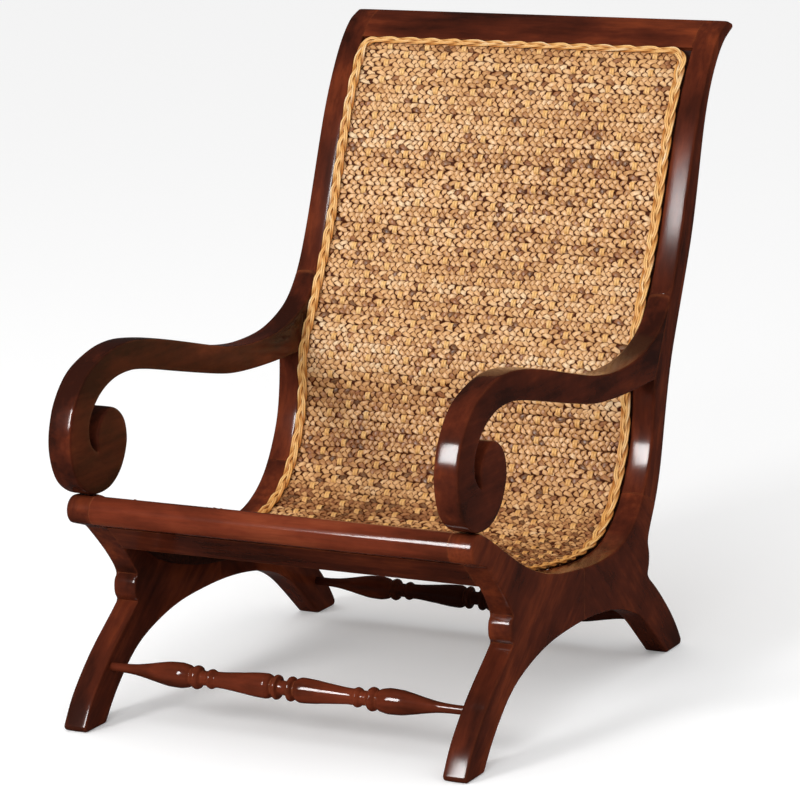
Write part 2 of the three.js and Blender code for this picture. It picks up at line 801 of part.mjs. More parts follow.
// Stations of the border's middle line from the front up one side and half way round the corner at the top
function sideStations() {
  const straightEnd = borderTop - cornerRadius;
  const stations = seatPlaces(matStart, straightEnd).map((place) => ({ across: borderMiddle, place, angle: 0 }));
  for (let step = 1; step <= cornerSteps; step += 1) {
    const angle = ((Math.PI / 2) * step) / cornerSteps;
    const across = borderMiddle - cornerRadius * (1 - Math.cos(angle));
    stations.push({ across, place: straightEnd + cornerRadius * Math.sin(angle), angle });
  }
  return stations;
}

function wovenMat() {
  const rings = sideStations().map(({ across, place }) => [
    onSeat(place, matTop, -across),
    onSeat(place, matTop, across),
    onSeat(place, matBottom, across),
    onSeat(place, matBottom, -across),
  ]);
  put('woven_mat', bodyOf(loft(rings)), hyacinth);
}

// Section of the border, as shares of half its width and half its thickness
const sectionShares = [[1, -1], [-1, -1], [-1, 0.3], [-0.6, 1], [0.6, 1], [1, 0.3]];

function plaitBorder() {
  const side = sideStations();
  const mirrored = side.map((station) => ({
    place: station.place,
    across: -station.across,
    angle: Math.PI - station.angle,
  }));
  const centre = borderLift + borderThickness / 2;
  const ring = ({ across, place, angle }) => sectionShares.map(([wide, high]) => {
    const reach = (wide * borderWidth) / 2;
    const above = centre + (high * borderThickness) / 2;
    return onSeat(place + reach * Math.sin(angle), above, across + reach * Math.cos(angle));
  });
  const rings = [...side, ...mirrored.reverse()].map(ring);
  put('plait_border', bodyOf(loft(rings)), rattan);
}

sideFrame(1);
sideFrame(-1);
crossPieces();
panelFrame();
wovenMat();
plaitBorder();

const chair = new THREE.Group();
chair.name = 'planters_chair';
const seatBox = new THREE.Box3();
outline.forEach((point) => seatBox.expandByPoint(point));
const shift = seatBox.getCenter(new THREE.Vector3());
Object.entries(pieces).forEach(([name, { body, finish }]) => {
  const material = new THREE.MeshStandardMaterial(finish);
  const mesh = new THREE.Mesh(geometryOf(body).translate(0, -shift.y, -seatBox.min.z), material);
  mesh.name = name;
  chair.add(mesh);
});

export default chair;
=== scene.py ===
"""A planters chair: mahogany frames, and a sling of hyacinth plaits woven on cane with a rattan border."""

from __future__ import annotations

import logging
import math
from dataclasses import dataclass, field
from enum import Enum
from functools import reduce
from typing import ClassVar

import bmesh
import bpy
import numpy as np
from mathutils import Matrix, Vector


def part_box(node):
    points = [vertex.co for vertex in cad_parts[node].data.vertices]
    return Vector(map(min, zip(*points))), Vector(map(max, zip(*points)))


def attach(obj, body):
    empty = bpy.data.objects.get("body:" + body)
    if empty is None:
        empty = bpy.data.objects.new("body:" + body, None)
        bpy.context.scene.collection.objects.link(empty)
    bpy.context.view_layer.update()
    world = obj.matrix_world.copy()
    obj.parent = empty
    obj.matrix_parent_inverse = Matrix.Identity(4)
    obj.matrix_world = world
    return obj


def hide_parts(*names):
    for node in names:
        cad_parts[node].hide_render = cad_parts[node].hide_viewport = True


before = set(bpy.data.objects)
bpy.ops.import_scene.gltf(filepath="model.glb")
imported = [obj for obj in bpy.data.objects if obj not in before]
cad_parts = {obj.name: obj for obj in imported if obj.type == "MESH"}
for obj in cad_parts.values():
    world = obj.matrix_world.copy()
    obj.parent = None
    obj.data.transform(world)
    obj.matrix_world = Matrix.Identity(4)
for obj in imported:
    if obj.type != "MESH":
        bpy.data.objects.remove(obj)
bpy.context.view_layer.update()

log = logging.getLogger("planters_chair")

MM = 0.001
ACROSS = Vector((1.0, 0.0, 0.0))

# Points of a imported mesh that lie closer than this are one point.
MERGE = MM / 100

# Half the width that a strand has in the pattern of its fibres, in metres. It is far more than the strand's
# own, so that the pattern runs in lines along the strand.
FIBRE_GIRTH = 0.25

FLOAT = "NodeSocketFloat"
WHOLE = "NodeSocketInt"
VECTOR = "NodeSocketVector"
GEOMETRY = "NodeSocketGeometry"
MATERIAL = "NodeSocketMaterial"

Socket = bpy.types.NodeSocket
Tree = bpy.types.NodeTree
Colour = tuple[float, float, float]
Span = tuple[float, float]

UNIT: Span = (0.0, 1.0)

# Most values of a noise lie in this range.
NOISE_SPAN: Span = (0.3, 0.7)


class Grain(Enum):
    """The way the wood's grain runs: degrees above the chair's depth, seen from its side, or across it."""

    ARM = 0.0
    FRONT_LEG = 38.0
    REAR_LEG = -42.0
    STILE = 72.0
    CROSS = None

    def turn(self) -> tuple[float, float, float]:
        """Returns the rotation that lays the length of the wood's pattern along the grain."""
        return (0.0, 0.0, 0.0) if self is Grain.CROSS else (-math.radians(self.value), 0.0, -math.pi / 2)


class Graph:
    """A node tree under construction, with short ways to place nodes and join them."""

    def __init__(self, tree: Tree) -> None:
        """Starts on a tree.

        Args:
            tree: The node tree that gets the nodes.
        """
        self.tree = tree

    def feed(self, socket: Socket, value: object) -> None:
        """Links a socket to an input, or sets the input's value.

        Args:
            socket: The input.
            value: Another node's output, a plain value, or None to leave the input alone.
        """
        if isinstance(value, Socket):
            self.tree.links.new(value, socket)
        elif value is not None:
            socket.default_value = value

    def node(self, kind: str, feeds: dict[str, object] | None = None, **settings: object) -> bpy.types.Node:
        """Places one node.

        Args:
            kind: The node's Blender type.
            feeds: Values or outputs for its inputs, by identifier or name.
            settings: The node's own properties.

        Returns:
            The new node.
        """
        made = self.tree.nodes.new(kind)
        for name, value in settings.items():
            setattr(made, name, value)
        for key, value in (feeds or {}).items():
            exact = [socket for socket in made.inputs if socket.identifier == key]
            named = [socket for socket in made.inputs if socket.name == key and socket.enabled]
            self.feed((exact + named)[0], value)
        return made

    def first(self, kind: str, feeds: dict[str, object] | None = None, **settings: object) -> Socket:
        """Places one node and returns its first output."""
        return self.node(kind, feeds, **settings).outputs[0]

    def math(self, operation: str, *values: object) -> Socket:
        """Places a node that works out a number.

        Args:
            operation: What it does.
            values: The numbers that it works on, up to three.

        Returns:
            The number.
        """
        made = self.tree.nodes.new("ShaderNodeMath")
        made.operation = operation
        for socket, value in zip(made.inputs, values):
            self.feed(socket, value)
        return made.outputs[0]

    def plus(self, *values: object) -> Socket:
        """Returns the sum of some numbers."""
        return reduce(lambda one, other: self.math("ADD", one, other), values)

    def times(self, *values: object) -> Socket:
        """Returns the product of some numbers."""
        return reduce(lambda one, other: self.math("MULTIPLY", one, other), values)

    def over(self, value: object, divisor: object) -> Socket:
        """Returns one number divided by another."""
        return self.math("DIVIDE", value, divisor)

    def divided(self, number: object, each: float) -> tuple[Socket, Socket]:
        """Divides a whole number.

        Args:
            number: The whole number.
            each: The divisor.

        Returns:
            The whole part, and what is left over.
        """
        return self.math("FLOOR", self.over(number, each)), self.math("MODULO", number, each)

    def vector(self, operation: str, one: object, other: object = None) -> Socket:
        """Places a node that works out a vector.

        Args:
            operation: What it does.
            one: A vector.
            other: Another vector, or a number for SCALE, where the work takes one.

        Returns:
            The vector.
        """
        made = self.tree.nodes.new("ShaderNodeVectorMath")
        made.operation = operation
        self.feed(made.inputs[0], one)
        self.feed(made.inputs["Scale"] if operation == "SCALE" else made.inputs[1], other)
        return made.outputs[0]

    def moved(self, start: object, *moves: object) -> Socket:
        """Returns the sum of some vectors."""
        return reduce(lambda one, other: self.vector("ADD", one, other), moves, start)

    def joined(self, *parts: object) -> Socket:
        """Joins numbers to a vector.

        Args:
            parts: Its three parts.

        Returns:
            The vector.
        """
        made = self.tree.nodes.new("ShaderNodeCombineXYZ")
        for socket, value in zip(made.inputs, parts):
            self.feed(socket, value)
        return made.outputs[0]

    def parts(self, vector: object) -> list[Socket]:
        """Returns the three parts of a vector."""
        return list(self.node("ShaderNodeSeparateXYZ", {"Vector": vector}).outputs)

    def field(self, name: str, kind: str = "FLOAT") -> Socket:
        """Returns a geometry's stored values."""
        return self.first("GeometryNodeInputNamedAttribute", {"Name": name}, data_type=kind)

    def store(self, geometry: object, name: str, value: object, kind: str = "FLOAT") -> Socket:
        """Returns the geometry with values stored on it by name."""
        feeds = {"Geometry": geometry, "Name": name, "Value": value}
        return self.first("GeometryNodeStoreNamedAttribute", feeds, data_type=kind)

    def chance(self, key: object, seed: object) -> Socket:
        """Returns a random number from 0 to 1 for each key."""
        return self.node("FunctionNodeRandomValue", {"ID": key, "Seed": seed}).outputs[1]

    def noise(self, vector: object, scale: object, detail: float = 3.0, rough: float = 0.5) -> Socket:
        """Returns a smooth random number from 0 to 1 at each point of a pattern."""
        feeds = {"Vector": vector, "Scale": scale, "Detail": detail, "Roughness": rough}
        return self.first("ShaderNodeTexNoise", feeds)

    def stray(self, place: object, scale: float, size: object) -> Socket:
        """Returns a smooth random number either side of zero."""
        return self.times(self.plus(self.noise(place, scale, detail=2.0), -0.5), size)

    def flattened(self, wave: object, steepness: float, flat_share: float = 0.85) -> Socket:
        """Returns a wave with its crests and hollows pressed flat."""
        flat = self.math("MAXIMUM", self.math("MINIMUM", self.times(wave, steepness), 1.0), -1.0)
        return self.plus(self.times(flat, flat_share), self.times(wave, 1 - flat_share))

    def spread(self, value: object, span: Span, result: Span) -> Socket:
        """Carries a value from one range to another.

        Args:
            value: The value.
            span: The range that it comes from.
            result: What the two ends of that range become.

        Returns:
            The new value, kept inside the new range.
        """
        feeds = {"Value": value, "From Min": span[0], "From Max": span[1]}
        feeds |= {"To Min": result[0], "To Max": result[1]}
        return self.first("ShaderNodeMapRange", feeds)

    def ramp(self, value: object, *stops: tuple[float, Colour]) -> Socket:
        """Looks up a value on a scale of colours.

        Args:
            value: The number to look up.
            stops: Places on the scale with their colours, in order.

        Returns:
            The colour.
        """
        made = self.tree.nodes.new("ShaderNodeValToRGB")
        scale = made.color_ramp.elements
        while len(scale) < len(stops):
            scale.new(1.0)
        for element, (place, colour) in zip(scale, stops):
            element.position = place
            element.color = (*colour, 1.0)
        self.feed(made.inputs[0], value)
        return made.outputs[0]

    def mixed(self, factor: object, one: object, other: object) -> Socket:
        """Mixes two colours.

        Args:
            factor: How much of the second colour shows, from 0 to 1.
            one: The first colour: an output or a plain colour.
            other: The second colour.

        Returns:
            The mixed colour.
        """
        full = [(*colour, 1.0) if isinstance(colour, tuple) else colour for colour in (one, other)]
        feeds = {"Factor_Float": factor, "A_Color": full[0], "B_Color": full[1]}
        made = self.node("ShaderNodeMix", feeds, data_type="RGBA")
        return next(socket for socket in made.outputs if socket.identifier == "Result_Color")


class Group:
    """A node group with named inputs and outputs, for a geometry tree or a shared shader effect."""

    def __init__(
        self, name: str, kind: str, inputs: dict[str, tuple[str, object]], outputs: dict[str, str]
    ) -> None:
        """Makes the group and its sockets.

        Args:
            name: The group's name.
            kind: GeometryNodeTree or ShaderNodeTree.
            inputs: Socket type and first value by input name.
            outputs: Socket type by output name.
        """
        self.tree = bpy.data.node_groups.new(name, kind)
        for title, (socket_type, value) in inputs.items():
            socket = self.tree.interface.new_socket(title, in_out="INPUT", socket_type=socket_type)
            if value is not None:
                socket.default_value = value
        for title, socket_type in outputs.items():
            self.tree.interface.new_socket(title, in_out="OUTPUT", socket_type=socket_type)
        self.graph = Graph(self.tree)
        self.given = self.tree.nodes.new("NodeGroupInput").outputs
        self.result = self.tree.nodes.new("NodeGroupOutput").inputs

    def finish(self, geometry: Socket) -> Tree:
        """Ends a geometry tree in smooth faces, realized instances and the material.

        Args:
            geometry: What the tree has made.

        Returns:
            The finished tree.
        """
        smooth = self.graph.first("GeometryNodeSetShadeSmooth", {"Geometry": geometry})
        real = self.graph.first("GeometryNodeRealizeInstances", {"Geometry": smooth})
        feeds = {"Geometry": real, "Material": self.given["Material"]}
        self.graph.feed(self.result[0], self.graph.first("GeometryNodeSetMaterial", feeds))
        return self.tree


def path_object(name: str, points: list[Vector], numbers: dict[str, list] | None = None) -> bpy.types.Object:
    """Makes a mesh object that is one line of edges through the points.

    Args:
        name: The object's name.
        points: The line's points.
        numbers: Named values for each point: floats or vectors.

    Returns:
        The object, linked to the scene.
    """
    mesh = bpy.data.meshes.new(name)
    mesh.from_pydata(points, [(index, index + 1) for index in range(len(points) - 1)], [])
    for title, values in (numbers or {}).items():
        if isinstance(values[0], Vector):
            layer = mesh.attributes.new(title, "FLOAT_VECTOR", "POINT")
            layer.data.foreach_set("vector", [part for value in values for part in value])
        else:
            mesh.attributes.new(title, "FLOAT", "POINT").data.foreach_set("value", values)
    made = bpy.data.objects.new(name, mesh)
    bpy.context.scene.collection.objects.link(made)
    return made


def grown(base: bpy.types.Object, tree: Tree, values: dict[str, object]) -> bpy.types.Object:
    """Runs a geometry tree on an object and keeps the result as its plain mesh.

    Args:
        base: The object that the tree starts from.
        tree: The geometry tree.
        values: The tree's named inputs.

    Returns:
        The same object, with the result as its mesh.
    """
    modifier = base.modifiers.new("growth", "NODES")
    modifier.node_group = tree
    for item in tree.interface.items_tree:
        if item.in_out == "INPUT" and item.name in values:
            modifier[item.identifier] = values[item.name]
    depsgraph = bpy.context.evaluated_depsgraph_get()
    mesh = bpy.data.meshes.new_from_object(base.evaluated_get(depsgraph))
    base.modifiers.remove(modifier)
    base.data = mesh
    return base


def smooth_line(points: list[Vector], spacing: float) -> list[Vector]:
    """Draws a smooth line through points that are set apart.

    Args:
        points: The points to pass through.
        spacing: Distance between the points of the result.

    Returns:
        Points along the smooth line.
    """
    line = []
    for index in range(len(points) - 1):
        before = points[max(index - 1, 0)]
        start, end = points[index], points[index + 1]
        after = points[min(index + 2, len(points) - 1)]
        reach = (end - start).length
        leave = (end - before).normalized() * reach
        arrive = (after - start).normalized() * reach
        steps = max(1, round(reach / spacing))
        for step in range(steps):
            t = step / steps
            rise = t * t * (3 - 2 * t)
            line.append(
                start * (1 - rise)
                + end * rise
                + leave * (t * (1 - t) ** 2)
                - arrive * (t * t * (1 - t))
            )
    return [*line, points[-1]]


@dataclass
class SeatLine:
    """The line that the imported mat's upper side follows, from the front edge to the crest."""

    mat: bpy.types.Object
    spacing: float = 4.0 * MM
    least_gap: float = 12.0 * MM
    corner: float = 60.0
    wall_normal: float = 0.3
    tangent_steps: int = 2
    points: list[Vector] = field(init=False)
    places: np.ndarray = field(init=False)
    length: float = field(init=False)

    def __post_init__(self) -> None:
        """Reads the line, smooths it and measures it."""
        self.points = smooth_line(self.rim(), self.spacing)
        gaps = [(b - a).length for a, b in zip(self.points, self.points[1:])]
        self.places = np.concatenate([[0.0], np.cumsum(gaps)])
        self.length = float(self.places[-1])

    def rim(self) -> list[Vector]:
        """Walks along the upper rim of the mat's side wall, up to the sharp corner at its end.

        Returns:
            The rim's points, moved to the middle of the chair.
        """
        shape = bmesh.new()
        shape.from_mesh(self.mat.data)
        bmesh.ops.remove_doubles(shape, verts=shape.verts, dist=MERGE)
        shape.normal_update()
        wall = {face for face in shape.faces if face.normal.x > self.wall_normal and face.verts[0].co.x > 0}
        beside: dict[bmesh.types.BMVert, list[bmesh.types.BMVert]] = {}
        for edge in shape.edges:
            if sum(face in wall for face in edge.link_faces) == 1:
                for vert in edge.verts:
                    beside.setdefault(vert, []).append(edge.other_vert(vert))
        last = min(beside, key=lambda vert: vert.co.y)
        here = max(beside[last], key=lambda vert: vert.co.z)
        walk = [here.co.copy()]
        sharp = math.radians(self.corner)
        while True:
            ahead = next(vert for vert in beside[here] if vert != last)
            if len(walk) > 1 and (ahead.co - walk[-1]).angle(walk[-1] - walk[-2]) > sharp:
                break
            walk.append(ahead.co.copy())
            last, here = here, ahead
        shape.free()
        flat = [Vector((0.0, point.y, point.z)) for point in walk]
        kept = [flat[0]]
        for point in flat[1:]:
            if (point - kept[-1]).length > self.least_gap:
                kept.append(point)
        kept[-1] = flat[-1]
        return kept

    def at(self, place: float) -> tuple[Vector, Vector]:
        """Finds a point of the line and the direction out of the mat there.

        Args:
            place: Length along the line.

        Returns:
            The point, and the upward normal.
        """
        index = int(np.clip(np.searchsorted(self.places, place) - 1, 0, len(self.points) - 2))
        share = (place - self.places[index]) / (self.places[index + 1] - self.places[index])
        point = self.points[index].lerp(self.points[index + 1], float(share))
        low = max(index - self.tangent_steps, 0)
        high = min(index + 1 + self.tangent_steps, len(self.points) - 1)
        tangent = (self.points[high] - self.points[low]).normalized()
        return point, ACROSS.cross(tangent)


class SharedEffects:
    """Shader node groups that more than one material uses."""

    def __init__(self) -> None:
        """Builds each group once."""
        self.figure = self.wood_figure()
        self.wear = self.edge_wear()
        self.fibre = self.dry_fibre()

    @staticmethod
    def wood_figure() -> Tree:
        """Builds the grain: fine streaks, slow clouds of colour, and open pores.

        Returns:
            The group's tree.
        """
        streak_stretch = (0.05, 1.0, 1.0)
        cloud_stretch = (0.4, 1.0, 1.0)
        bend = 0.03
        bend_scale = 4.0
        band_scale_share = 0.25
        band_share = 0.22
        pore_multiple = 3.0

        inputs = {"Grain": (VECTOR, None), "Streak": (FLOAT, 300.0), "Cloud": (FLOAT, 11.0)}
        outputs = {"Streaks": FLOAT, "Clouds": FLOAT, "Pores": FLOAT}
        group = Group("wood_figure", "ShaderNodeTree", inputs, outputs)
        graph, given = group.graph, group.given
        straight = graph.vector("MULTIPLY", given["Grain"], streak_stretch)
        shift = graph.times(graph.noise(given["Grain"], bend_scale, detail=2.0), bend)
        long = graph.moved(straight, graph.joined(0.0, shift, 0.0))
        graph.feed(group.result["Streaks"], graph.noise(long, given["Streak"], detail=4.0, rough=0.6))
        bands = graph.noise(long, graph.times(given["Streak"], band_scale_share), detail=3.0, rough=0.6)
        drawn = graph.vector("MULTIPLY", given["Grain"], cloud_stretch)
        patches = graph.noise(drawn, given["Cloud"], detail=5.0, rough=0.6)
        clouds = graph.plus(graph.times(bands, band_share), graph.times(patches, 1 - band_share))
        graph.feed(group.result["Clouds"], clouds)
        pores = graph.noise(long, graph.times(given["Streak"], pore_multiple), detail=2.0, rough=0.7)
        graph.feed(group.result["Pores"], pores)
        return group.tree

    @staticmethod
    def edge_wear() -> Tree:
        """Builds the mask of rubbed edges, broken up along their length.

        Returns:
            The group's tree.
        """
        edge_span = (0.0, 0.2)
        broken_span = (0.4, 0.7)
        broken_scale = 30.0
        least_wear = 0.15

        inputs = {"Vector": (VECTOR, None), "Reach": (FLOAT, 4 * MM), "Amount": (FLOAT, 1.0)}
        group = Group("edge_wear", "ShaderNodeTree", inputs, {"Wear": FLOAT})
        graph, given = group.graph, group.given
        soft = graph.first("ShaderNodeBevel", {"Radius": given["Reach"]}, samples=4)
        own = graph.node("ShaderNodeNewGeometry").outputs["Normal"]
        feeds = {"Vector": soft, "Vector_001": own}
        cosine = graph.node("ShaderNodeVectorMath", feeds, operation="DOT_PRODUCT").outputs["Value"]
        edge = graph.spread(graph.math("SUBTRACT", 1.0, cosine), edge_span, UNIT)
        patches = graph.noise(given["Vector"], broken_scale, detail=4.0, rough=0.65)
        broken = graph.spread(patches, broken_span, (least_wear, 1.0))
        graph.feed(group.result["Wear"], graph.times(edge, broken, given["Amount"]))
        return group.tree

    @staticmethod
    def dry_fibre() -> Tree:
        """Builds the fine lines that run along a dried stem, and the blotches on it.

        Returns:
            The group's tree.
        """
        line_stretch = (2.5, 1.0, 1.0)

        inputs = {"Lines": (FLOAT, 40.0), "Blotch": (FLOAT, 90.0)}
        group = Group("dry_fibre", "ShaderNodeTree", inputs, {"Lines": FLOAT, "Blotches": FLOAT})
        graph, given = group.graph, group.given
        run = graph.node("ShaderNodeAttribute", attribute_name="fibre").outputs["Vector"]
        fine = graph.vector("MULTIPLY", run, line_stretch)
        graph.feed(group.result["Lines"], graph.noise(fine, given["Lines"], rough=0.6))
        place = graph.node("ShaderNodeTexCoord").outputs["Object"]
        graph.feed(group.result["Blotches"], graph.noise(place, given["Blotch"], rough=0.6))
        return group.tree


class Paint:
    """One material under construction, with its Principled shader."""

    def __init__(self, name: str, constants: dict[str, object]) -> None:
        """Makes the material.

        Args:
            name: Its name.
            constants: Values set directly on the shader's inputs.
        """
        self.material = bpy.data.materials.new(name)
        self.material.use_nodes = True
        self.graph = Graph(self.material.node_tree)
        self.shader = self.material.node_tree.nodes["Principled BSDF"]
        for title, value in constants.items():
            self.shader.inputs[title].default_value = value

    def show(self, title: str, value: Socket) -> None:
        """Feeds one of the shader's inputs."""
        self.graph.feed(self.shader.inputs[title], value)

    def place(self) -> Socket:
        """Returns the object coordinates."""
        return self.graph.node("ShaderNodeTexCoord").outputs["Object"]

    def stored(self, name: str) -> Socket:
        """Returns a number that the piece's mesh carries."""
        return self.graph.node("ShaderNodeAttribute", attribute_name=name).outputs["Fac"]

    def effect(self, tree: Tree, feeds: dict[str, object]) -> bpy.types.NodeOutputs:
        """Places a shared effect.

        Args:
            tree: The effect's group.
            feeds: Its inputs by name.

        Returns:
            The effect's outputs.
        """
        made = self.graph.tree.nodes.new("ShaderNodeGroup")
        made.node_tree = tree
        for title, value in feeds.items():
            self.graph.feed(made.inputs[title], value)
        return made.outputs

    def relief(self, height: Socket, depth: float, strength: float) -> None:
        """Raises the surface by a height, with the given depth in metres."""
        feeds = {"Height": height, "Distance": depth, "Strength": strength}
        self.show("Normal", self.graph.first("ShaderNodeBump", feeds))


@dataclass(frozen=True)
class Mahogany:
    """Dark polished mahogany: nearly black in the shade, red where it is lit and rubbed."""

    name: str
    dark: Colour
    middle: Colour
    red: Colour
    rubbed: Colour
    wear: float = 0.6
    roughness: float = 0.3
    smear: Span = (-0.08, 0.14)
    smear_scale: float = 14.0
    smear_span: Span = (0.3, 0.75)
    coat_roughness: float = 0.14
    coat_ior: float = 1.2
    tone_places: tuple[float, float, float] = (0.35, 0.5, 0.67)
    streak_span: Span = (0.45, 0.7)
    streak_strength: float = 0.4
    wave_scale: float = 30.0
    wave_height: float = 6.0
    pore_height: float = 0.35
    dent_scale: float = 30.0
    dent_size: float = 0.05
    dent_depth: float = 6.0
    relief_depth: float = 0.12 * MM
    relief_strength: float = 0.8

    def material(self, effects: SharedEffects, grain: Grain, shade: float = 0.0) -> bpy.types.Material:
        """Builds the finish for wood whose grain runs one way.

        Args:
            effects: The shared effects.
            grain: The way the grain runs.
            shade: How far the colours move towards the dark end.

        Returns:
            The material.
        """
        constants = {
            "Coat Weight": 1.0,
            "Coat IOR": self.coat_ior,
            "Coat Roughness": self.coat_roughness,
            "Specular IOR Level": 0.0,
        }
        paint = Paint(f"{self.name}_{grain.name.lower()}", constants)
        graph = paint.graph
        place = paint.place()
        run = graph.first("ShaderNodeMapping", {"Vector": place, "Rotation": grain.turn()})
        figure = paint.effect(effects.figure, {"Grain": run})
        worn = paint.effect(effects.wear, {"Vector": place, "Amount": self.wear})["Wear"]
        self.colour(paint, figure, worn, shade)
        smear = graph.noise(place, self.smear_scale, detail=4.0, rough=0.6)
        smooth, dull = (self.roughness + change for change in self.smear)
        paint.show("Roughness", graph.spread(smear, self.smear_span, (smooth, dull)))
        waves = graph.times(graph.noise(place, self.wave_scale, detail=2.0), self.wave_height)
        pores = graph.times(figure["Pores"], self.pore_height)
        feeds = {"Vector": place, "Scale": self.dent_scale}
        away = graph.node("ShaderNodeTexVoronoi", feeds).outputs["Distance"]
        dents = graph.spread(away, (0.0, self.dent_size), (-self.dent_depth, 0.0))
        paint.relief(graph.plus(waves, pores, dents), self.relief_depth, self.relief_strength)
        return paint.material

    def colour(self, paint: Paint, figure: bpy.types.NodeOutputs, worn: Socket, shade: float) -> None:
        """Colours the wood by its figure, with dark streaks and rubbed edges.

        Args:
            paint: The material under construction.
            figure: The grain's streaks and clouds.
            worn: How rubbed each point is.
            shade: How far the colours move towards the dark end.
        """
        graph = paint.graph
        depth = graph.math("SUBTRACT", figure["Clouds"], shade)
        body = graph.ramp(depth, *zip(self.tone_places, (self.dark, self.middle, self.red)))
        streaks = graph.spread(figure["Streaks"], self.streak_span, (0.0, self.streak_strength))
        paint.show("Base Color", graph.mixed(worn, graph.mixed(streaks, body, self.dark), self.rubbed))


@dataclass(frozen=True)
class PlainWood:
    """Unpolished wood of the panel's hidden frame and the dowels, coloured dark as painted shade under the
    seat.
    """

    name: str = "plain_wood"
    light: Colour = (0.06, 0.016, 0.008)
    dark: Colour = (0.022, 0.007, 0.004)
    streak_scale: float = 220.0
    tone_places: Span = (0.35, 0.62)
    roughness: Span = (0.55, 0.8)
    relief_depth: float = 0.15 * MM

    def material(self, effects: SharedEffects) -> bpy.types.Material:
        """Builds the finish.

        Args:
            effects: The shared effects.

        Returns:
            The material.
        """
        paint = Paint(self.name, {"Specular IOR Level": 0.1})
        figure = paint.effect(effects.figure, {"Grain": paint.place(), "Streak": self.streak_scale})
        stops = zip(self.tone_places, (self.dark, self.light))
        paint.show("Base Color", paint.graph.ramp(figure["Streaks"], *stops))
        paint.show("Roughness", paint.graph.spread(figure["Clouds"], NOISE_SPAN, self.roughness))
        paint.relief(figure["Pores"], self.relief_depth, strength=0.8)
        return paint.material


@dataclass(frozen=True)
class ScrewSteel:
    """Dull drawn steel of the screws."""

    name: str = "screw_steel"
    bright: Colour = (0.55, 0.54, 0.52)
    dull: Colour = (0.3, 0.28, 0.26)
    stain_scale: float = 260.0
    tone_places: Span = (0.35, 0.6)
    roughness: Span = (0.5, 0.3)

    def material(self) -> bpy.types.Material:
        """Builds the finish.

        Returns:
            The material.
        """
        paint = Paint(self.name, {"Metallic": 1.0})
        stain = paint.graph.noise(paint.place(), self.stain_scale, detail=4.0, rough=0.6)
        stops = zip(self.tone_places, (self.dull, self.bright))
        paint.show("Base Color", paint.graph.ramp(stain, *stops))
        paint.show("Roughness", paint.graph.spread(stain, NOISE_SPAN, self.roughness))
        return paint.material


@dataclass(frozen=True)
class DriedStem:
    """A dried plant stem, coloured by the tone that each piece of it carries.

    The tone is a number from 0 to 1 on a scale of colours. Fine lines run along the stem. Its rims take a
    dark colour that is partly the stem's own darker edge and partly painted shade between strands, and the
    bends where it dives under another strand take it as painted shade.
    """

    name: str
    tones: tuple[tuple[float, Colour], ...]
    line_colour: Colour
    lines: float
    line_depth: float
    coat_roughness: float
    # Colour of the rims, partly the stem's own darker edge and partly painted shade, and of sunk bends, as
    # painted shade.
    edge_and_shade_colour: Colour = (0.1, 0.04, 0.02)
    rim_share: float = 0.0
    rim_span: Span = (0.76, 0.96)
    sunk_shade_share: float = 0.0
    gloss: float = 0.3
    blotch_span: Span = (0.3, 0.75)
    blotch_tones: Span = (-0.12, 0.12)
    line_span: Span = (0.42, 0.66)
    line_strength: float = 0.5
    dull_crease: float = 0.4
    roughness: Span = (0.55, 0.75)

    def material(self, effects: SharedEffects) -> bpy.types.Material:
        """Builds the finish.

        Args:
            effects: The shared effects.

        Returns:
            The material.
        """
        paint = Paint(self.name, {"Specular IOR Level": 0.04, "Coat Roughness": self.coat_roughness})
        graph = paint.graph
        fibre = paint.effect(effects.fibre, {"Lines": self.lines})
        blotch = graph.spread(fibre["Blotches"], self.blotch_span, self.blotch_tones)
        body = graph.ramp(graph.plus(paint.stored("tone"), blotch), *self.tones)
        scored = graph.spread(fibre["Lines"], self.line_span, (self.line_strength, 0.0))
        # Rims darken partly as the stem's own darker edge and partly as painted shade; sunk bends darken as
        # painted shade.
        rim = graph.spread(graph.plus(paint.stored("rim"), blotch), self.rim_span, (0.0, self.rim_share))
        crease = graph.math("MAXIMUM", rim, graph.times(paint.stored("sunk"), self.sunk_shade_share))
        lined = graph.mixed(scored, body, self.line_colour)
        paint.show("Base Color", graph.mixed(crease, lined, self.edge_and_shade_colour))
        paint.show("Coat Weight", graph.spread(crease, (0.0, self.dull_crease), (self.gloss, 0.0)))
        paint.show("Roughness", graph.spread(fibre["Blotches"], NOISE_SPAN, self.roughness))
        paint.relief(fibre["Lines"], self.line_depth, strength=0.9)
        return paint.material


